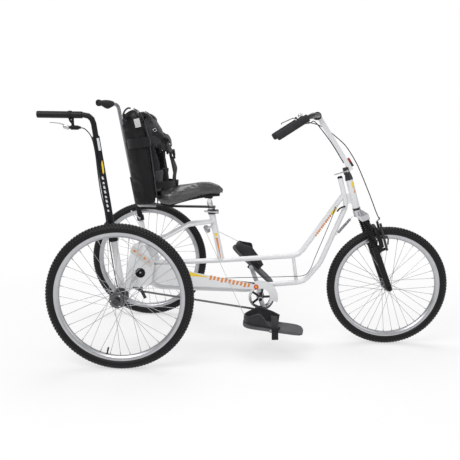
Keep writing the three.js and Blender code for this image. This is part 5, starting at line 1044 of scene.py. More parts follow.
def puffedCopy(node, name, values):
    # a padded form grown from the CAD solid's space: remeshed, shrunk a little, then blown up as cloth
    pad = copyOf(nodes[node], name)
    pad.modifiers.clear()
    pad.parent = None
    for key in list(pad.keys()):
        del pad[key]
    makeActive(pad)
    bpy.ops.object.mode_set(mode="EDIT")
    bpy.ops.mesh.select_all(action="SELECT")
    bpy.ops.mesh.remove_doubles(threshold=mergeDistance)
    bpy.ops.object.mode_set(mode="OBJECT")
    remesh = pad.modifiers.new("remesh", "REMESH")
    remesh.mode = "VOXEL"
    remesh.voxel_size = values["voxel"]
    applyAll(pad)
    relaxSurface(pad, puffValues["relax"], puffValues["rounds"])
    slim = pad.modifiers.new("slim", "DISPLACE")
    slim.mid_level = 0
    slim.strength = -values["shrink"]
    applyAll(pad)
    start = [vertex.co.copy() for vertex in pad.data.vertices]
    makeActive(pad)
    cloth = pad.modifiers.new("cloth", "CLOTH")
    cloth.settings.use_pressure = True
    cloth.settings.uniform_pressure_force = values["pressure"]
    cloth.settings.effector_weights.gravity = 0
    cloth.settings.quality = puffValues["quality"]
    cloth.point_cache.frame_start = 1
    cloth.point_cache.frame_end = puffValues["steps"]
    scene = bpy.context.scene
    scene.frame_start, scene.frame_end = 1, puffValues["steps"]
    for number in range(1, puffValues["steps"] + 1):
        scene.frame_set(number)
    makeActive(pad)
    bpy.ops.object.modifier_apply(modifier=cloth.name)
    scene.frame_set(1)
    for vertex, place in zip(pad.data.vertices, start):
        move = vertex.co - place
        if move.length > values["cap"]:
            vertex.co = place + move.normalized() * values["cap"]
    return pad


def sewSeam(pad, distanceOf, width, depth):
    # draws the surface in along a line of stitches; distanceOf gives how far a point is from it
    normals = [vertex.normal.copy() for vertex in pad.data.vertices]
    for vertex, normal in zip(pad.data.vertices, normals):
        far = distanceOf(vertex.co)
        if far < width * 3:
            vertex.co -= normal * depth * math.exp(-(far / width) ** 2)


saddleValues = {
    "shrink": 0.003, "voxel": 0.005, "pressure": 4.0, "cap": 0.008,
    "stations": 24, "droop": 0.012, "sideFrom": 0.58, "sideOver": 0.24, "skirt": 0.042, "skirtOver": 0.036,
    "noseLength": 0.09, "noseRaise": 0.002, "noseTuck": 0.004, "noseDrop": 0.003,
    "relax": 0.4, "rounds": 3,
    "seamRise": 0.034, "seamSlope": 0.016, "seamWidth": 0.0022, "seamDepth": 0.0022,
}


def buildSaddle():
    values = saddleValues
    pad = puffedCopy("saddle_cushion", "saddle_cover", values)
    divideSurface(pad)
    low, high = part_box("saddle_cushion")
    last = values["stations"]

    def stationOf(x):
        return min(last, max(0, int(last * (x - low.x) / (high.x - low.x))))

    stations = [[0.0, math.inf] for _ in range(last + 1)]  # half width and underside along the saddle
    for vertex in pad.data.vertices:
        station = stations[stationOf(vertex.co.x)]
        station[0] = max(station[0], abs(vertex.co.y))
        station[1] = min(station[1], vertex.co.z)
    for vertex in pad.data.vertices:  # the sides hang a little lower than the pan
        half, under = stations[stationOf(vertex.co.x)]
        side = clamped((abs(vertex.co.y) / half - values["sideFrom"]) / values["sideOver"])
        depth = clamped((under + values["skirt"] - vertex.co.z) / values["skirtOver"])
        nose = max(0.0, (vertex.co.x - high.x + values["noseLength"]) / values["noseLength"])
        vertex.co.z -= values["droop"] * softStep(side) * depth
        vertex.co.z += (values["noseRaise"] * nose * (1 - depth) + values["noseTuck"] * nose * nose * depth
                        - values["noseDrop"] * nose * nose)
    relaxSurface(pad, values["relax"], values["rounds"])

    def fromRim(point):
        share = (point.x - low.x) / (high.x - low.x)
        return abs(point.z - (low.z + values["seamRise"] + values["seamSlope"] * share))

    sewSeam(pad, fromRim, values["seamWidth"], values["seamDepth"])
    finishPiece(pad, saddleVinyl, "seat", 60)
    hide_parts("saddle_cushion")
    print("saddle built", len(pad.data.polygons))


backValues = {
    "shrink": 0.004, "voxel": 0.006, "pressure": 4.0, "cap": 0.009,
    "recline": 7.6, "foot": (-0.581, 0, 0.695), "roundFrom": 0.385, "height": 0.478,
    "crown": 0.464, "crownMiddle": 0.054, "crownRear": 0.062, "crownFront": 0.064, "crownFall": 0.036,
    "crownLimit": 1.6,
    "wingFrom": 0.108, "wingOver": 0.014, "rearFrom": 0.045, "rearOver": 0.03, "wrapBack": 0.017,
    "wrapFoot": 0.55, "wrapRise": 0.45,
}


def onBack(forward, across, rise):  # a point of the backrest, from its foot, in its own leaning axes
    lean = math.radians(backValues["recline"])
    foot = backValues["foot"]
    return Vector((foot[0] + forward * math.cos(lean) - rise * math.sin(lean), across,
                   foot[2] + forward * math.sin(lean) + rise * math.cos(lean)))


def fromBack(point):  # the other way round: (forward, across, rise)
    lean = math.radians(backValues["recline"])
    foot = backValues["foot"]
    dx, dz = point.x - foot[0], point.z - foot[2]
    return dx * math.cos(lean) + dz * math.sin(lean), point.y, -dx * math.sin(lean) + dz * math.cos(lean)


def backRoute(points, steps):
    return smoothRoute([onBack(*point) for point in points], steps)


def topOfWing(forward):  # the round of the wing's top, seen from the side
    away = forward - backValues["crownMiddle"]
    share = away / backValues["crownRear" if away < 0 else "crownFront"]
    return backValues["crown"] - backValues["crownFall"] * min(backValues["crownLimit"], share * share)


def buildBackPad():
    values = backValues
    pad = puffedCopy("back_pad", "back_cover", values)
    low = values["roundFrom"]
    for vertex in pad.data.vertices:
        forward, across, rise = fromBack(vertex.co)
        beyond, behind = abs(across) - values["wingFrom"], values["rearFrom"] - forward
        if beyond > 0 and behind > 0:  # the wings reach back round the sides of the board
            share = min(1.0, beyond / values["wingOver"]) * min(1.0, behind / values["rearOver"])
            share *= values["wrapFoot"] + values["wrapRise"] * rise / values["height"]
            forward -= values["wrapBack"] * share
            vertex.co = onBack(forward, across, rise)
        if rise > low:
            share = (rise - low) / (values["height"] - low)
            vertex.co = onBack(forward, across, low + (topOfWing(forward) - low) * share)
    divideSurface(pad)
    finishPiece(pad, blackVinyl, "seat", 60)
    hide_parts("back_pad")
    print("back pad built", len(pad.data.polygons))


def tubeAlong(name, line, radius, sides=10):
    # rings round each point of the line, bridged one to the next and closed at both ends
    line = [Vector(p) for p in line]
    deselectAll()
    bpy.ops.mesh.primitive_circle_add(vertices=sides, radius=radius, location=(0, 0, 0), fill_type="NGON")
    piece = namedPiece(name)
    mesh = bmesh.new()
    rings = []
    hint, otherHint = Vector((0, 1, 0)), Vector((1, 0, 0))
    leastSide = 0.05  # below it the line runs along the first hint
    for index, point in enumerate(line):
        along = (line[min(index + 1, len(line) - 1)] - line[max(index - 1, 0)]).normalized()
        side = hint - along * hint.dot(along)
        if side.length < leastSide:
            side = otherHint - along * along.x
        side.normalize()
        up = side.cross(along)
        turns = [math.tau * k / sides for k in range(sides)]
        rings.append([mesh.verts.new(point + (side * math.cos(turn) + up * math.sin(turn)) * radius)
                      for turn in turns])
    for first, second in zip(rings, rings[1:]):
        for k in range(sides):
            after = (k + 1) % sides
            mesh.faces.new((first[k], first[after], second[after], second[k]))
    mesh.faces.new(rings[0])
    mesh.faces.new(list(reversed(rings[-1])))
    bmesh.ops.recalc_face_normals(mesh, faces=list(mesh.faces))
    mesh.to_mesh(piece.data)
    mesh.free()
    return piece


# Points of the trim are (forward, across, rise) or, where one width holds for all, (forward, rise).
trimValues = {
    "pipingEdge": 0.1535, "pipingRadius": 0.0024,
    "piping": [(0.1125, 0.012), (0.1135, 0.15), (0.113, 0.28), (0.1105, 0.345), (0.101, 0.405),
               (0.084, 0.442), (0.062, 0.459)],
    "wireRadius": 0.0040,
    "wire": [(0.048, -0.150, 0.462), (0.035, -0.154, 0.463), (0.021, -0.157, 0.453), (0.011, -0.158, 0.436),
             (0.012, -0.159, 0.417), (0.024, -0.160, 0.407)],
    "fittingSize": (0.026, 0.010, 0.016), "fittingPlace": (0.019, -0.161, 0.430), "fittingTurn": 35,
    "fittingEdge": 0.0045,
    "bandRise": 0.300, "bandHalf": 0.0235, "bandThickness": 0.0034, "bandCorner": 0.0008,
    "band": [(0.098, 0.139), (0.114, 0.144), (0.1155, 0.156), (0.100, 0.1635), (0.060, 0.1645),
             (0.030, 0.1595), (0.010, 0.140), (0.0, 0.116)],  # (forward, across)
    "tagSize": (0.027, 0.0012, 0.040), "tagPlace": (0.0715, -0.1632, 0.391), "tagTurn": 6, "tagEdge": 0.0005,
}


def buildBackTrim():
    values = trimValues
    pipes, bands = [], []
    for side in (-1, 1):
        edge = side * values["pipingEdge"]
        route = backRoute([(forward, edge, rise) for forward, rise in values["piping"]], 6)
        pipes.append(tubeAlong("backPiping" + str(side), route, values["pipingRadius"]))
    wire = tubeAlong("back_wire", backRoute(values["wire"], 6), values["wireRadius"])
    finishPiece(wire, cableBlack, "seat", 60)
    oval = roundedBox("back_fitting", values["fittingSize"], (0, 0, 0), values["fittingEdge"], 4)
    movedTo(oval, onBack(*values["fittingPlace"]), values["fittingTurn"])
    finishPiece(oval, blackPlastic, "seat", 50)
    finishPiece(joinPieces("back_piping", pipes), pipingVinyl, "seat", 50)
    upwards = onBack(0, 0, 1) - onBack(0, 0, 0)
    for side in (-1, 1):
        plan = [(forward, side * across, values["bandRise"]) for forward, across in values["band"]]
        bands.append(bandAlong("backBand" + str(side), backRoute(plan, 4), upwards, values["bandHalf"],
                               values["bandThickness"], values["bandCorner"]))
    finishPiece(joinPieces("back_band", bands), webbing, "seat", 50)
    tag = roundedBox("back_tag", values["tagSize"], (0, 0, 0), values["tagEdge"], 2)
    movedTo(tag, onBack(*values["tagPlace"]), -backValues["recline"] - values["tagTurn"])
    finishPiece(tag, tagCloth, "seat", 40)
    print("back trim built")


vestValues = {
    "half": 0.110, "across": 44, "down": 30, "thickness": 0.010,
    "wrinkleSize": 0.035, "wrinkleDepth": 0.0022, "wrinkleStretch": (1, 1.6, 0.6),
    "front": [(0.0, 0.420, 0.112), (0.2, 0.396, 0.136), (0.4, 0.362, 0.151), (0.6, 0.326, 0.160),
              (0.8, 0.282, 0.178), (1.0, 0.232, 0.199)],  # share of the way down, rise, forward
    "ease": 0.35, "straight": 0.65,
    "lift": 0.006, "liftPlace": 0.56, "liftSpread": 0.2, "dip": 0.040, "dipSpread": 0.30,
    "hem": 0.060, "hemPower": 2.4, "shoulder": 0.050, "shoulderPower": 4,
    "rear": 0.092, "rearNeck": 0.012, "wrap": 0.96, "wrapPower": 0.75,
    "seams": (-0.055, 0.055), "seamWidth": 0.0016, "seamDepth": 0.0016,
}


def frontLine(share):  # (rise, forward) of the vest's middle, from its neck to its lower edge
    rows = vestValues["front"]
    for (a, riseA, frontA), (b, riseB, frontB) in zip(rows, rows[1:]):
        if share <= b:
            t = (share - a) / (b - a)
            t = softStep(t) * vestValues["ease"] + t * vestValues["straight"]
            return riseA + (riseB - riseA) * t, frontA + (frontB - frontA) * t
    return rows[-1][1:]


def vestPoint(across, down):
    # across runs from -1 to 1 between the wings, down from 0 at the neck to 1 at the lower edge
    values = vestValues
    rise, front = frontLine(down)
    lift = values["lift"] * math.exp(-((abs(across) - values["liftPlace"]) / values["liftSpread"]) ** 2)
    dip = values["dip"] * math.exp(-(across / values["dipSpread"]) ** 2)
    hem = values["hem"] * abs(across) ** values["hemPower"] * down
    shoulder = values["shoulder"] * abs(across) ** values["shoulderPower"] * (1 - down)
    rear = values["rear"] - values["rearNeck"] * (1 - down)
    forward = rear + (front - rear) * math.cos(across * math.pi / 2 * values["wrap"]) ** values["wrapPower"]
    rise += lift * (1 - down) ** 2 - dip * (1 - down) ** 3 + hem - shoulder
    return onBack(forward, across * values["half"], rise)


def gridSheet(name, across, down, pointOf):
    deselectAll()
    bpy.ops.mesh.primitive_grid_add(x_subdivisions=across, y_subdivisions=down, size=2, location=(0, 0, 0))
    piece = namedPiece(name)
    for vertex in piece.data.vertices:
        vertex.co = pointOf(vertex.co.x, (vertex.co.y + 1) / 2)
    return piece


finerWrinkles = {"size": 2.3, "depth": 0.5}  # as shares of the main ones


def wrinkle(piece, size, depth, stretch=(1, 1, 1)):
    moved = []
    for vertex in piece.data.vertices:
        place = Vector([c * s for c, s in zip(vertex.co, stretch)]) / size
        height = noise.noise(place) + finerWrinkles["depth"] * noise.noise(place * finerWrinkles["size"])
        moved.append(vertex.normal * depth * height)
    for vertex, move in zip(piece.data.vertices, moved):
        vertex.co += move


shellValues = {"edgeShare": 0.32, "edgeDegrees": 50}


def thicken(piece, thickness, rounds=1):
    shell = piece.modifiers.new("shell", "SOLIDIFY")
    shell.thickness = thickness
    shell.offset = 0
    applyAll(piece)
    edge = piece.modifiers.new("edge", "BEVEL")
    edge.width = thickness * shellValues["edgeShare"]
    edge.segments = 2
    edge.limit_method = "ANGLE"
    edge.angle_limit = math.radians(shellValues["edgeDegrees"])
    applyAll(piece)
    if rounds:
        divideSurface(piece, rounds)


buckleValues = {
    "clip": (0.030, 0.011, 0.040), "lap": (0.046, 0.011, 0.034),
    "bodyShare": 0.55, "bodyPlace": 0.22, "bodyEdge": 0.0022,
    "tongueShares": (0.82, 0.72, 0.34), "tonguePlace": 0.26, "tongueEdge": 0.0016,
    "barDepth": 0.6, "barHeight": 0.005, "barPlace": 0.46, "barEdge": 0.0014,
    "prongWidth": 0.0045, "prongDepth": 0.8, "prongHeight": 0.42, "prongAcross": 0.47, "prongPlace": 0.02,
}


def buckle(name, centre, turn, size):
    # a side-release buckle: a socket, two springy prongs and a strap bar
    values, (wide, deep, tall) = buckleValues, size
    tongueSize = [side * share for side, share in zip(size, values["tongueShares"])]
    barSize = (wide, deep * values["barDepth"], values["barHeight"])
    prongSize = (values["prongWidth"], deep * values["prongDepth"], tall * values["prongHeight"])
    parts = [
        roundedBox(name + "Body", (wide, deep, tall * values["bodyShare"]),
                   (0, 0, tall * values["bodyPlace"]), values["bodyEdge"]),
        roundedBox(name + "Tongue", tongueSize, (0, 0, -tall * values["tonguePlace"]), values["tongueEdge"]),
        roundedBox(name + "Bar", barSize, (0, 0, -tall * values["barPlace"]), values["barEdge"])]
    for k in (-1, 1):
        place = (k * wide * values["prongAcross"], 0, tall * values["prongPlace"])
        parts.append(roundedBox(name + "Prong" + str(k), prongSize, place, values["barEdge"]))
    whole = joinPieces(name, parts)
    whole.data.transform(Matrix.Translation(centre) @ turn)
    return whole


# Points are (forward, across, rise) on the backrest, and (x, y, z) in straps that don't say leaning.
harnessValues = {
    "shoulderPlace": 0.066,
    "shoulder": [(0.120, 1.0, 0.392), (0.122, 0.98, 0.410), (0.104, 0.97, 0.430), (0.076, 1.0, 0.438),
                 (0.054, 1.0, 0.426), (0.0475, 1.0, 0.39)],  # forward, share of the place, rise
    "shoulderBand": {"half": 0.024, "thickness": 0.011, "corner": 0.004, "crown": 0.25},
    "flap": [(0.098, 0.1035, 0.30), (0.106, 0.103, 0.27), (0.112, 0.1025, 0.235), (0.118, 0.102, 0.20),
             (0.115, 0.101, 0.165), (0.103, 0.100, 0.13)],
    "flapBand": {"half": 0.021, "thickness": 0.005, "corner": 0.002, "crown": 0.4},
    "flapWrinkles": (0.018, 0.003),
    "clips": [(0.176, -0.050, 0.252), (0.202, -0.014, 0.226), (0.196, 0.030, 0.232), (0.148, -0.080, 0.262),
              (0.188, -0.036, 0.222), (0.160, -0.064, 0.232)],
    "straps": {
        "dropNear": {"sideways": (0.35, 1, 0), "band": (0.0125, 0.0028, 0.0006), "route": [
            (-0.456, -0.046, 0.940), (-0.449, -0.044, 0.90), (-0.441, -0.040, 0.85),
            (-0.437, -0.036, 0.808)]},
        "dropMiddle": {"sideways": (0.35, 1, 0), "band": (0.019, 0.0028, 0.0006), "route": [
            (-0.424, -0.012, 0.934), (-0.412, -0.012, 0.905), (-0.404, -0.012, 0.878), (-0.409, -0.012, 0.84),
            (-0.411, -0.012, 0.806)]},
        "dropFar": {"sideways": (0.35, 1, 0), "band": (0.0125, 0.0028, 0.0006), "route": [
            (-0.432, 0.030, 0.936), (-0.424, 0.030, 0.90), (-0.414, 0.028, 0.85), (-0.409, 0.026, 0.806)]},
        "tab": {"sideways": (0, 1, 0.35), "band": (0.021, 0.003, 0.001), "route": [
            (-0.468, -0.050, 0.998), (-0.456, -0.052, 1.030), (-0.440, -0.054, 1.036),
            (-0.424, -0.055, 1.014), (-0.419, -0.054, 0.985)]},
        "crossA": {"sideways": (0, 0.2, 1), "band": (0.0125, 0.0028, 0.0008), "leaning": True, "route": [
            (0.128, -0.094, 0.345), (0.160, -0.072, 0.318), (0.181, -0.045, 0.285)]},
        "crossB": {"sideways": (0, 0.2, 1), "band": (0.0125, 0.0028, 0.0008), "leaning": True, "route": [
            (0.128, 0.094, 0.345), (0.160, 0.072, 0.318), (0.181, 0.045, 0.285)]},
    },
    "ringRadius": 0.0075, "ringWire": 0.0013, "ringPlace": (0.136, -0.0925, 0.352), "ringTurn": (70, 0, 20),
}


def buildVest():
    values = vestValues
    vest = gridSheet("chest_vest", values["across"], values["down"], lambda x, y: vestPoint(x, 1 - y))
    wrinkle(vest, values["wrinkleSize"], values["wrinkleDepth"], values["wrinkleStretch"])
    thicken(vest, values["thickness"])
    for seam in values["seams"]:
        sewSeam(vest, lambda point, seam=seam: abs(point.y - seam), values["seamWidth"], values["seamDepth"])
    parts = [vest]
    for side in (-1, 1):
        place = side * harnessValues["shoulderPlace"]
        line = backRoute([(x, place * share, z) for x, share, z in harnessValues["shoulder"]], 5)
        parts.append(bandAlong("shoulderPad" + str(side), line, (0, 1, 0), **harnessValues["shoulderBand"]))
        line = backRoute([(x, side * y, z) for x, y, z in harnessValues["flap"]], 5)
        flap = bandAlong("sideFlap" + str(side), line, (1, 0, 0.1), **harnessValues["flapBand"])
        wrinkle(flap, *harnessValues["flapWrinkles"])
        parts.append(flap)
    vest = joinPieces("chest_vest", parts)
    finishPiece(vest, padCloth, "seat", 60)
    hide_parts("chest_harness")


def buildHarness():
    upright = (Matrix.Rotation(math.radians(90), 4, "Z")
               @ Matrix.Rotation(math.radians(-backValues["recline"]), 4, "X"))
    clips = [buckle("clip" + str(k), onBack(*place), upright, buckleValues["clip"])
             for k, place in enumerate(harnessValues["clips"])]
    finishPiece(joinPieces("harness_buckles", clips), blackPlastic, "seat", 40)
    straps = []
    for name, values in harnessValues["straps"].items():
        line = (backRoute if values.get("leaning") else smoothRoute)(values["route"], 6)
        straps.append(bandAlong(name, line, values["sideways"], *values["band"]))
    finishPiece(joinPieces("harness_straps", straps), webbing, "seat", 50)
    deselectAll()
    bpy.ops.mesh.primitive_torus_add(
        major_radius=harnessValues["ringRadius"], minor_radius=harnessValues["ringWire"], major_segments=32,
        minor_segments=10, location=onBack(*harnessValues["ringPlace"]),
        rotation=[math.radians(turn) for turn in harnessValues["ringTurn"]])
    ring = namedPiece("harness_ring")
    settle(ring)
    finishPiece(ring, alloyMetal, "seat", 60)
    print("harness built")


beltValues = {
    "rise": 0.096, "height": 0.032, "front": 0.192, "rear": 0.088, "half": 0.1115, "sag": 0.012,
    "wrapPower": 0.8, "across": 48, "up": 6, "thickness": 0.0032,
    "padSize": (0.044, 0.015, 0.100), "padEdge": 0.0068, "padNarrow": 0.35, "padBack": 0.012,
    "padPlace": (0.128, 0.098, 0.112), "padTurn": -4, "claspGap": 0.0045,
}


def buildBelt():
    values = beltValues

    def beltPoint(across, up):
        turn = across * math.pi / 2
        reach = (values["front"] - values["rear"]) * max(0.0, math.cos(turn)) ** values["wrapPower"]
        rise = values["rise"] - values["sag"] * math.cos(turn) + (up - 0.5) * values["height"]
        return onBack(values["rear"] + reach, values["half"] * math.sin(turn), rise)

    band = gridSheet("lap_strap", values["across"], values["up"], beltPoint)
    thicken(band, values["thickness"], 0)
    pads = []
    for side in (-1, 1):
        pad = roundedBox("hipPad" + str(side), values["padSize"], (0, 0, 0), values["padEdge"], 5)
        for vertex in pad.data.vertices:  # narrower and further back at its foot
            share = 0.5 - vertex.co.z / values["padSize"][2]
            vertex.co.x = vertex.co.x * (1 - values["padNarrow"] * share) - values["padBack"] * share
        divideSurface(pad, 2)
        forward, across, rise = values["padPlace"]
        pads.append(movedTo(pad, onBack(forward, side * across, rise), values["padTurn"]))
    hip = joinPieces("hip_pads", pads)
    finishPiece(hip, greyCloth, "seat", 60)
    place = onBack(values["front"] + values["claspGap"], 0.0, values["rise"] - values["sag"])
    clasp = buckle("lap_clasp", place, Matrix.Rotation(math.radians(90), 4, "Z"), buckleValues["lap"])
    finishPiece(clasp, blackPlastic, "seat", 40)
    finishPiece(band, webbing, "seat", 50)
    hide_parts("lap_belt")
    print("belt built")


buildSaddle()
buildBackPad()
buildBackTrim()
buildVest()
buildHarness()
buildBelt()

bootValues = {
    "head": (0.531, 0.056, 0.644), "leg": (0.36481, 0, -0.93108), "length": 0.148, "ridge": 0.019,
    "valley": 0.0146, "bore": 0.0116, "ribs": 12, "ribPlaces": (0.42, 0.5, 0.58), "ribRound": 0.0006,
    "cuff": 0.010, "cuffInset": 0.001, "cuffEdge": 0.002, "steps": 32, "travel": 0.030,
}


def buildBoots():
    # a rubber bellows on each stanchion, built at one length
    values = bootValues
    length, ridge, valley, cuff = (values[key] for key in ("length", "ridge", "valley", "cuff"))
    rim = ridge - values["cuffInset"]
    pitch = (length - 2 * cuff) / values["ribs"]
    before, top, after = values["ribPlaces"]
    outline = [(values["bore"], 0), (rim, 0), (rim, cuff - values["cuffEdge"])]
    for k in range(values["ribs"]):
        foot = cuff + k * pitch
        outline += [(valley, foot), (ridge - values["ribRound"], foot + pitch * before),
                    (ridge, foot + pitch * top), (ridge - values["ribRound"], foot + pitch * after)]
    foot = length - cuff
    outline += [(valley, foot), (rim, foot + values["cuffEdge"]), (rim, length), (values["bore"], length)]
    leg = Vector(values["leg"])
    turn = Vector((0, 1, 0)).rotation_difference(leg).to_matrix().to_4x4()
    for side, word in ((-1, "right"), (1, "left")):
        head = Vector((values["head"][0], side * values["head"][1], values["head"][2]))
        boot = spunProfile("boot_" + word, outline, (0, 0, 0), values["steps"])
        boot.data.transform(Matrix.Translation(head) @ turn)
        finishPiece(boot, bootRubber, "steering", 40)
        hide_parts("fork_boot_" + word)
        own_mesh(boot)
    print("boots built")


archValues = {
    "plan": [(0.178, 0.010, 0.056), (0.162, 0.023, 0.0565), (0.146, 0.032, 0.057), (0.110, 0.033, 0.0565),
             (0.078, 0.033, 0.050), (0.058, 0.033, 0.034), (0.050, 0.033, 0.014)],  # down, forward, across
    "half": 0.0105, "thickness": 0.0075, "corner": 0.0015,
    "guide": [(0.607, -0.014, 0.652), (0.6075, -0.006, 0.641), (0.606, 0.006, 0.634), (0.604, 0.018, 0.632)],
    "guideRadius": 0.0027,
}


def onLeg(down, forward, across):  # a point beside the fork's leg, from its head
    head, leg = Vector((bootValues["head"][0], 0, bootValues["head"][2])), Vector(bootValues["leg"])
    return head + leg * down + Vector((-leg.z, 0, leg.x)) * forward + Vector((0, across, 0))


def buildArch():
    # the arch that joins the fork's lower legs over the tyre, and the brake's bent guide tube
    near = [onLeg(down, forward, -across) for down, forward, across in archValues["plan"]]
    far = [onLeg(down, forward, across) for down, forward, across in reversed(archValues["plan"])]
    forwards = onLeg(0, 1, 0) - onLeg(0, 0, 0)
    arch = bandAlong("fork_arch", smoothRoute(near + far, 3), forwards, archValues["half"],
                     archValues["thickness"], archValues["corner"])
    finishPiece(arch, legPaint, "fork_lowers", 40)
    guide = tubeAlong("brake_guide", smoothRoute(archValues["guide"], 5), archValues["guideRadius"])
    finishPiece(guide, alloyMetal, "fork_lowers", 60)
    print("arch built")


springValues = {
    "front": (0.478, 0, 0.652), "rear": (0.3987, 0, 0.556), "coil": 0.092, "radius": 0.0062, "wire": 0.00115,
    "turns": 30, "steps": 14, "hookShare": 0.8,
}


def buildSpring():
    values = springValues
    front, rear = Vector(values["front"]), Vector(values["rear"])
    along = (rear - front).normalized()
    across, up = Vector((0, 1, 0)), along.cross(Vector((0, 1, 0)))
    lead = ((rear - front).length - values["coil"]) / 2
    hook = along * lead * values["hookShare"]
    line = [front, front + hook]
    count = values["turns"] * values["steps"]
    for k in range(count + 1):
        angle = math.tau * k / values["steps"]
        place = lead + values["coil"] * k / count
        reach = (across * math.cos(angle) + up * math.sin(angle)) * values["radius"]
        line.append(front + along * place + reach)
    line += [rear - hook, rear]
    coil = tubeAlong("coil_spring", line, values["wire"], 6)
    finishPiece(coil, springSteel, "frame", 60)
    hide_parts("centring_spring")
    print("spring built", len(coil.data.polygons))


cupValues = {
    "feet": {
        "right": {"pedal": (0.0745, -0.1705, 0.1272), "tilt": 7, "side": -1, "body": "foot_right"},
        "left": {"pedal": (-0.0206, 0.1705, 0.3628), "tilt": 43, "side": 1, "body": "foot_left"},
    },
    "heel": -0.126, "length": 0.168, "half": 0.058, "floor": 0.0124, "height": 0.061, "flare": 0.005,
    "bulge": 0.004, "rows": 7, "thickness": 0.0046, "wrinkles": (0.022, 0.0009),
    "rimShares": [  # outwards as a share of half the width, rise as a share of the height
        (0.86, 0.22), (0.88, 0.13), (0.90, 0.14), (0.91, 0.38), (0.92, 0.78), (0.92, 1.0), (0.84, 0.82),
        (0.68, 0.62), (0.38, 0.54), (0.0, 0.53), (-0.38, 0.54), (-0.68, 0.64), (-0.84, 0.82), (-0.92, 1.0),
        (-0.92, 0.95), (-0.90, 0.82), (-0.86, 0.60)],
    "stationShares": [1.0, 0.86, 0.73, 0.60, 0.48, 0.36, 0.24, 0.12, 0.03, 0.0, 0.03, 0.12, 0.24, 0.36, 0.52,
                      0.76, 1.0],
    "edgeRadius": 0.0030, "strapPlace": 0.84, "strapBand": (0.0165, 0.0034, 0.0008),
    "strap": [(0, -0.0585, 0.022), (0, -0.059, 0.036), (0, -0.042, 0.042), (0.001, 0.0, 0.037),
              (0.002, 0.036, 0.029), (0.003, 0.062, 0.019), (0.004, 0.0695, 0.006), (0.006, 0.0705, -0.012),
              (0.010, 0.0695, -0.036)],  # forward of its place, outwards, rise
}


def onFoot(word, forward, out, rise):  # a point over the foot plate, in its own tilted axes
    foot = cupValues["feet"][word]
    tilt = math.radians(foot["tilt"])
    x, y, z = foot["pedal"]
    return Vector((x + forward * math.cos(tilt) + rise * math.sin(tilt), y + foot["side"] * out,
                   z - forward * math.sin(tilt) + rise * math.cos(tilt)))


def buildCup(word):
    values, body = cupValues, cupValues["feet"][word]["body"]
    heel, length = values["heel"], values["length"]
    rim = smoothRoute([(heel + station * length, out * values["half"], rise * values["height"])
                       for station, (out, rise) in zip(values["stationShares"], values["rimShares"])], 4)
    last = len(rim) - 1

    def wallPoint(across, down):
        place = rim[round((across + 1) / 2 * last)]
        share = 1 - down
        lean = Vector((min(0.0, place.x - heel - length / 2), place.y, 0)).normalized()
        push = values["flare"] * share + values["bulge"] * math.sin(math.pi * share)
        rise = values["floor"] + place.z * share
        return onFoot(word, place.x + lean.x * push, place.y + lean.y * push, rise)

    wall = gridSheet("cup_" + word, last, values["rows"], wallPoint)
    wrinkle(wall, *values["wrinkles"])
    thicken(wall, values["thickness"])
    finishPiece(wall, cupCloth, body, 60)
    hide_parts("foot_cup_" + word)
    edge = [wallPoint(2 * k / last - 1, 0) for k in range(last + 1)]
    trim = tubeAlong("cup_edge_" + word, edge, values["edgeRadius"], 8)
    # the rim trim takes the piping's lighter grey: a painted highlight along the cup's edge
    finishPiece(trim, pipingVinyl, body, 60)
    front = heel + values["strapPlace"] * length
    route = smoothRoute([onFoot(word, front + ahead, out, rise) for ahead, out, rise in values["strap"]], 3)
    forwards = onFoot(word, 1, 0, 0) - onFoot(word, 0, 0, 0)
    strap = bandAlong("cup_strap_" + word, route, forwards, *values["strapBand"])
    finishPiece(strap, webbing, body, 50)
    print("cup built", word)


gripValues = {
    "head": (-0.7779, 0.3018, 1.202), "tail": (-0.8418, 0.2200, 1.202), "bore": 0.0099, "boreWall": 0.0005,
    "outline": [(0.0115, 0), (0.0140, 0.003), (0.0155, 0.012), (0.0178, 0.024), (0.0180, 0.040),
                (0.0176, 0.056), (0.0150, 0.072), (0.0140, 0.080), (0.0150, 0.086), (0.0176, 0.090),
                (0.0180, 0.098), (0.0168, 0.1045), (0.0120, 0.1075)],  # (radius, place along the bar)
    "steps": 40, "sag": 0.35, "swellPlace": 0.040, "swellHalf": 0.036,
    "plugFrom": 0.098, "plugTo": 0.1072, "plugRadius": 0.0125, "plugEnd": 0.0112, "plugSides": 28,
}


def buildLeftGrip():
    # a shaped grip: a palm swell that hangs lower than the bar, a neck and a round end
    values, bore = gripValues, gripValues["bore"]
    head, tail = Vector(values["head"]), Vector(values["tail"])
    along = (tail - head).normalized()
    outline = [(bore, 0)] + values["outline"] + [(bore, values["outline"][-1][1])]
    grip = spunProfile("left_grip", outline, (0, 0, 0), values["steps"])
    for vertex in grip.data.vertices:
        swell = max(0.0, 1 - abs(vertex.co.y - values["swellPlace"]) / values["swellHalf"])
        if vertex.co.z < 0 and math.hypot(vertex.co.x, vertex.co.z) > bore + values["boreWall"]:
            vertex.co.z *= 1 + values["sag"] * swell * 2
    movedTo(grip, head, math.degrees(math.atan2(along.y, along.x)) - 90, "Z")
    divideSurface(grip)
    finishPiece(grip, foamRubber, "push_bar_left", 50)
    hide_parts("push_grip_left")
    plug = rodBetween("grip_plug", head + along * values["plugFrom"], head + along * values["plugTo"],
                      values["plugRadius"], values["plugSides"], values["plugEnd"])
    finishPiece(plug, blackPlastic, "push_bar_left", 40)
    print("left grip built")


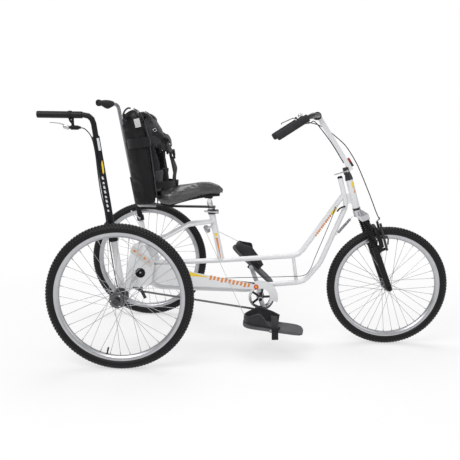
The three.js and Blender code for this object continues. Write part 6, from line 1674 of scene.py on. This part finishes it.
leverValues = {
    "perchSize": (0.036, 0.018, 0.019), "perchPlace": (-0.8055, -0.327, 1.0655), "perchEdge": 0.005,
    "band": [(0.0145, -0.007), (0.0172, -0.007), (0.0178, -0.004), (0.0178, 0.004), (0.0172, 0.007),
             (0.0145, 0.007)],  # (radius, place along the bar)
    "bandPlace": (-0.824, -0.327, 1.12), "bandTurn": 90, "bandSteps": 32,
    "strut": [(-0.827, -0.327, 1.106), (-0.824, -0.327, 1.094), (-0.812, -0.327, 1.080),
              (-0.808, -0.327, 1.070)],
    "strutBand": (0.0065, 0.008, 0.001),
    "rootSize": (0.027, 0.015, 0.019), "rootPlace": (-0.8425, -0.327, 1.0675), "rootTurn": 18,
    "rootEdge": 0.006,
}


def buildLeverParts():
    # the lever's perch and the band that holds it to the bar, and the silver root of the lever
    values = leverValues
    perch = roundedBox("lever_perch", values["perchSize"], values["perchPlace"], values["perchEdge"], 4)
    band = spunProfile("leverBand", values["band"], (0, 0, 0), values["bandSteps"])
    movedTo(band, values["bandPlace"], values["bandTurn"], "Z")
    strut = bandAlong("leverStrut", values["strut"], (0, 1, 0), *values["strutBand"])
    holder = joinPieces("lever_holder", [perch, band, strut])
    finishPiece(holder, blackPlastic, "push_bar_right", 40)
    root = roundedBox("lever_root", values["rootSize"], (0, 0, 0), values["rootEdge"], 4)
    movedTo(root, values["rootPlace"], values["rootTurn"])
    finishPiece(root, alloyMetal, "push_brake_lever", 40)
    print("lever parts built")


cordValues = {
    "brake_cable": {"length": 0.7163, "diameter": 0.0048, "route": [
        (0.227, 0.146, 1.116), (0.257, 0.11, 1.112), (0.3, 0.05, 1.098), (0.343, 0.027, 1.072),
        (0.381, 0.01, 1.042), (0.426, -0.019, 0.998), (0.471, -0.024, 0.932), (0.498, -0.028, 0.881),
        (0.549, -0.034, 0.767), (0.587, -0.04, 0.675), (0.605, -0.03, 0.646), (0.607, -0.014, 0.652)]},
    "gear_cable": {"length": 0.4139, "diameter": 0.0048, "route": [
        (0.227, 0.146, 1.116), (0.241, 0.1, 1.106), (0.257, 0.03, 1.108), (0.273, -0.012, 1.112),
        (0.329, -0.012, 1.048), (0.3672, -0.012, 0.997), (0.4033, -0.012, 0.942), (0.4202, -0.012, 0.916)]},
    "long_cable": {"length": 1.160, "diameter": 0.0032, "route": [
        (0.389, -0.0146, 0.702), (0.374, -0.017, 0.648), (0.335, -0.017, 0.542), (0.295, -0.017, 0.436),
        (0.277, -0.017, 0.385), (0.244, -0.017, 0.35), (0.155, -0.016, 0.342), (0.075, -0.016, 0.338),
        (-0.078, -0.016, 0.332), (-0.205, -0.016, 0.326), (-0.325, -0.016, 0.33), (-0.445, -0.016, 0.352),
        (-0.513, -0.0146, 0.397)]},
    "rear_cable": {"length": 0.7465, "diameter": 0.0048, "route": [
        (-0.7795, -0.327, 1.066), (-0.755, -0.338, 1.058), (-0.726, -0.35, 1.024), (-0.711, -0.352, 0.959),
        (-0.703, -0.351, 0.88), (-0.691, -0.351, 0.784), (-0.675, -0.351, 0.705), (-0.662, -0.352, 0.6),
        (-0.645, -0.35, 0.47), (-0.633, -0.346, 0.392), (-0.627, -0.345, 0.36)]},
    "plate_cord": {"length": 0.7585, "diameter": 0.0026, "route": [
        (-0.0529, -0.1705, 0.1852), (-0.1211, -0.1196, 0.3159), (-0.1894, -0.0688, 0.4467),
        (-0.2576, -0.0179, 0.5774), (-0.2595, -0.0156, 0.5818), (-0.2606, -0.0123, 0.5857),
        (-0.2609, -0.0083, 0.5890), (-0.2603, -0.0037, 0.5915), (-0.2589, 0.0011, 0.5931),
        (-0.2566, 0.0058, 0.5935), (-0.2538, 0.0102, 0.5928), (-0.2506, 0.0139, 0.5911),
        (-0.1969, 0.0661, 0.5556), (-0.1433, 0.1183, 0.5201), (-0.0896, 0.1705, 0.4846)]},
}


def makeCord(name, material, body, lay):
    # hanging cables are smoothed between their points, and the taut cord runs straight from one to the next
    values = cordValues[name]
    line = smoothRoute(values["route"], 5) if lay == "hanging" else [Vector(p) for p in values["route"]]
    cord = tubeAlong(name, line, values["diameter"] / 2)
    finishPiece(cord, material, body, 60)
    return cord


def buildCords():
    brake = makeCord("brake_cable", cableBlack, None, "hanging")
    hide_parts("steering_cables")
    makeCord("gear_cable", cableBlack, "steering", "hanging")
    long = makeCord("long_cable", cableBlack, "frame", "hanging")
    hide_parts("frame_cable")
    rear = makeCord("rear_cable", cableBlack, None, "hanging")
    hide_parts("handle_cable")
    thin = makeCord("plate_cord", whiteCord, "frame", "taut")
    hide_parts("levelling_cord")
    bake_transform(brake)
    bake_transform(rear)
    print("cords built")


markValues = {"guardFace": -0.0709, "plateFace": -0.0889, "thickness": 0.0004, "step": 0.0003}


def plateShape(name, corners, across, thickness):
    # a thin shape on a flat side that faces -Y; corners are (x, z)
    deselectAll()
    bpy.ops.mesh.primitive_circle_add(vertices=len(corners), radius=startRadius, location=(0, 0, 0),
                                      fill_type="NGON")
    plate = namedPiece(name)
    for vertex, (x, z) in zip(plate.data.vertices, corners):
        vertex.co = Vector((x, across, z))
    thicken(plate, thickness, 0)
    return plate


def plateMark(name, corners, across, thickness, material):
    finishPiece(plateShape(name, corners, across, thickness), material, "frame", 40)


def tubeShape(name, foot, along, radius, shape):
    # a thin shape wrapped on the -Y side of a tube; shape has rows (distance along, across, half width)
    deselectAll()
    last = len(shape) - 1
    bpy.ops.mesh.primitive_grid_add(x_subdivisions=6, y_subdivisions=last, size=2, location=(0, 0, 0))
    mark = namedPiece(name)
    along = Vector(along).normalized()
    side = along.cross(Vector((0, 1, 0))).normalized()
    lifted = radius + markValues["thickness"] * 0.5
    for vertex in mark.data.vertices:
        place, across, half = shape[round((vertex.co.y + 1) / 2 * last)]
        turn = (across + vertex.co.x * half) / radius
        middle = Vector(foot) + along * place
        vertex.co = middle + side * lifted * math.sin(turn) - Vector((0, 1, 0)) * lifted * math.cos(turn)
    shell = mark.modifiers.new("shell", "SOLIDIFY")
    shell.thickness = markValues["thickness"]
    shell.offset = 0
    applyAll(mark)
    return mark


def tubeMark(name, foot, along, radius, shape, material):
    finishPiece(tubeShape(name, foot, along, radius, shape), material, "frame", 50)


def roundShape(middle, across, radius, steps=12, least=0.0002):
    rows = []
    for k in range(steps + 1):
        angle = math.pi * k / steps
        rows.append((middle - radius * math.cos(angle), across, max(least, radius * math.sin(angle))))
    return rows


barShares = {"wide": 0.62, "narrow": 0.45, "rows": [(0.0, -1, 1.0), (0.5, 0, 0.9), (1.0, 1, 0.75)]}


def slantedBars(name, foot, along, radius, first, pitch, count, half, slant, material):
    bars = []
    for k in range(count):
        start = first + k * pitch
        wide = pitch * barShares["wide" if k % 3 else "narrow"]
        rows = [(start + wide * place, slant * lean, half * tall) for place, lean, tall in barShares["rows"]]
        bars.append(tubeShape(name + str(k), foot, along, radius, rows))
    finishPiece(joinPieces(name, bars), material, "frame", 50)


# A tube is (foot, direction, radius), and the rows of a mark are (distance along, across, half width).
tubeMarkValues = {
    "seatTube": ((-0.173, 0, 0.420), (-0.054, 0, 0.258), 0.0160),
    "seatTail": [(0.008, 0, 0.0008), (0.05, 0, 0.0028), (0.09, 0, 0.0045), (0.118, 0, 0.0052)],
    "seatDisc": (0.134, 0, 0.0085),
    "slopeTube": ((0.296, 0, 0.555), (0.562, 0, 0.828), 0.0127),
    "slopeBars": (0.0, 0.0118, 11, 0.0100, 0.0014),  # first, pitch, count, half width, slant
    "slopeBlock": [(0.131, 0.001, 0.0110), (0.150, 0, 0.0120), (0.172, -0.003, 0.004)],
    "headTube": ((0.494, 0, 0.696), (-0.041, 0, 0.138), 0.018),
    "headTop": [(0.096, -0.008, 0.0016), (0.110, -0.009, 0.0060), (0.128, -0.010, 0.0055),
                (0.135, -0.011, 0.0015)],
    "headLow": [(0.076, -0.009, 0.0015), (0.082, -0.010, 0.0038), (0.090, -0.011, 0.0012)],
}


def buildTubeMarks():
    values = tubeMarkValues
    tubeMark("seat_mark_tail", *values["seatTube"], values["seatTail"], orangeMark)
    tubeMark("seat_mark_disc", *values["seatTube"], roundShape(*values["seatDisc"]), yellowMark)
    slantedBars("rise_mark_bars", *values["slopeTube"], *values["slopeBars"], orangeMark)
    tubeMark("rise_mark_block", *values["slopeTube"], values["slopeBlock"], yellowMark)
    tubeMark("head_mark_top", *values["headTube"], values["headTop"], yellowMark)
    tubeMark("head_mark_low", *values["headTube"], values["headLow"], orangeMark)


sleeveValues = {
    "lean": 8.6, "radius": 0.0160, "across": -0.327,  # rows count down from the sleeve's top
    "label": [(0.066, -0.0082, 0.0052), (0.012, -0.0082, 0.0052)],
    "tail": [(0.168, -0.0060, 0.0012), (0.160, -0.0070, 0.0034), (0.125, -0.0085, 0.0038),
             (0.110, -0.0090, 0.0010)],
    "barsFrom": 0.335, "bars": (0.0205, 8, 0.0042, 0.0010),  # pitch, count, half width, slant
}


def buildSleeveMarks():
    values = sleeveValues
    low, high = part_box("push_sleeve_right")
    lean = math.radians(values["lean"])
    foot = Vector((high.x - values["radius"] / math.cos(lean), values["across"], low.z))
    sleeve = (foot, Vector((-math.sin(lean), 0, math.cos(lean))), values["radius"])
    top = (high.z - low.z) / math.cos(lean)
    label, tail = ([(top - down, across, half) for down, across, half in values[key]]
                   for key in ("label", "tail"))
    tubeMark("sleeve_label", *sleeve, label, tagPaint)
    tubeMark("sleeve_mark_yellow", *sleeve, tail, yellowMark)
    slantedBars("sleeve_mark_bars", *sleeve, top - values["barsFrom"], *values["bars"], tagPaint)


stickerValues = {
    "corners": [(-0.606, 0.502), (-0.499, 0.421), (-0.519, 0.392), (-0.620, 0.469)],
    "spots": [(-0.597, 0.474, 0.010, 0.007), (-0.573, 0.456, 0.012, 0.006), (-0.548, 0.439, 0.008, 0.007),
              (-0.527, 0.420, 0.010, 0.005)],  # (x, z, half width, half height), orange and pink in turn
    "spotRise": 0.2, "spotDrop": 0.4,
}


def buildPlateSticker():
    values, face, step = stickerValues, markValues["plateFace"], markValues["step"]
    plateMark("sticker", values["corners"], face, markValues["thickness"], stickerPaper)
    for k, (x, z, wide, tall) in enumerate(values["spots"]):
        corners = [(x - wide, z + tall * values["spotRise"]), (x, z + tall),
                   (x + wide, z - tall * values["spotDrop"]), (x, z - tall)]
        plateMark("sticker_spot" + str(k), corners, face - step, step, stickerPink if k % 2 else orangeMark)


guardValues = {
    "thickness": 0.0005, "wedge": [(-0.337, 0.372), (-0.337, 0.350), (-0.238, 0.3435), (-0.236, 0.3465)],
    "bars": 11, "barStart": -0.230, "barTop": 0.3540, "barPitch": 0.0190, "barSlope": 0.190,
    "tall": 0.019, "taller": 0.023, "lean": 0.005, "footWidth": 0.0095, "headWidth": 0.0165, "drop": 0.001,
    "disc": (0.0045, 0.300), "discRadius": 0.0125, "discSides": 24, "dotRadius": 0.004, "dotSides": 16,
}


def roundCorners(middle, radius, sides):
    turns = [math.tau * k / sides for k in range(sides)]
    return [(middle[0] + radius * math.cos(turn), middle[1] + radius * math.sin(turn)) for turn in turns]


def buildGuardMarks():
    values, face, thickness = guardValues, markValues["guardFace"], guardValues["thickness"]
    plateMark("guard_mark_yellow", values["wedge"], face, thickness, yellowMark)
    bars = []
    for k in range(values["bars"]):
        x = values["barStart"] + k * values["barPitch"]
        top = values["barTop"] - (x - values["barStart"]) * values["barSlope"]
        foot = top - values["tall" if k % 3 else "taller"]
        corners = [(x + values["lean"], top), (x, foot), (x + values["footWidth"], foot - values["drop"]),
                   (x + values["headWidth"], top - values["drop"])]
        bars.append(plateShape("guardBar" + str(k), corners, face, thickness))
    finishPiece(joinPieces("guard_mark_bars", bars), orangeMark, "frame")
    disc = roundCorners(values["disc"], values["discRadius"], values["discSides"])
    plateMark("guard_mark_disc", disc, face, thickness, redMark)
    dot = roundCorners(values["disc"], values["dotRadius"], values["dotSides"])
    plateMark("guard_mark_dot", dot, face - markValues["thickness"], markValues["thickness"], yellowMark)


clusterValues = {
    "radii": (0.0250, 0.0205, 0.0160, 0.0115), "teeth": 26, "fewerTeeth": 5, "face": -0.0724, "pitch": 0.0026,
    "thickness": 0.0014, "toothShares": [(0.0, 0.9), (0.3, 1.0), (0.55, 1.0), (0.85, 0.9)],
    "coreFace": -0.0716, "nutFoot": -0.0815, "nutFace": -0.0828, "coreRadius": 0.0072, "nutRadius": 0.0046,
}


def buildCluster():
    # dark toothed rings behind the window of the near side plate
    values = clusterValues
    x, y, z = windowCentre
    rings = []
    for k, radius in enumerate(values["radii"]):
        teeth = values["teeth"] - values["fewerTeeth"] * k
        outline = []
        for tooth in range(teeth):
            for share, reach in values["toothShares"]:
                angle = math.tau * (tooth + share) / teeth
                outline.append((x + radius * reach * math.cos(angle), z + radius * reach * math.sin(angle)))
        face = values["face"] - values["pitch"] * k
        rings.append(plateShape("clusterRing" + str(k), outline, face, values["thickness"]))
    core, foot, face = (Vector((x, y + values[key], z)) for key in ("coreFace", "nutFoot", "nutFace"))
    rings.append(rodBetween("clusterCore", core, foot, values["coreRadius"], 20))
    cluster = joinPieces("drive_cluster", rings)
    finishPiece(cluster, clusterMetal, "frame", 35)
    nut = rodBetween("cluster_nut", foot, face, values["nutRadius"], 6)
    finishPiece(nut, alloyMetal, "frame", 40)
    print("cluster built")


detailValues = {
    "strap": [(0.397, -0.0205, 0.678), (0.408, -0.0215, 0.692), (0.421, -0.0215, 0.700),
              (0.437, -0.0205, 0.704)],
    "strapSideways": (-0.6, 0, 0.8), "strapBand": (0.0045, 0.0024, 0.0006),
    "capFoot": -0.1022, "capFace": -0.1050, "boltFace": -0.1062, "capRadius": 0.0115, "boltRadius": 0.0082,
    "sides": 32,
}


def buildDetails():
    values = detailValues
    line = smoothRoute(values["strap"], 4)
    strap = bandAlong("cable_strap", line, values["strapSideways"], *values["strapBand"])
    finishPiece(strap, blackPlastic, "frame", 50)
    x, y, z = crankAxle
    foot, face, end = (Vector((x, y + values[key], z)) for key in ("capFoot", "capFace", "boltFace"))
    cap = rodBetween("crank_cap", foot, face, values["capRadius"], values["sides"])
    finishPiece(cap, alloyMetal, "crank", 40)
    bolt = rodBetween("crank_bolt", face, end, values["boltRadius"], values["sides"])
    finishPiece(bolt, blackPlastic, "crank", 40)
    print("details built")


buildBoots()
buildArch()
buildSpring()
for word in ("right", "left"):
    buildCup(word)
buildLeftGrip()
buildLeverParts()
buildCords()
buildGuardMarks()
buildTubeMarks()
buildSleeveMarks()
buildPlateSticker()
print("marks built")
buildCluster()
buildDetails()
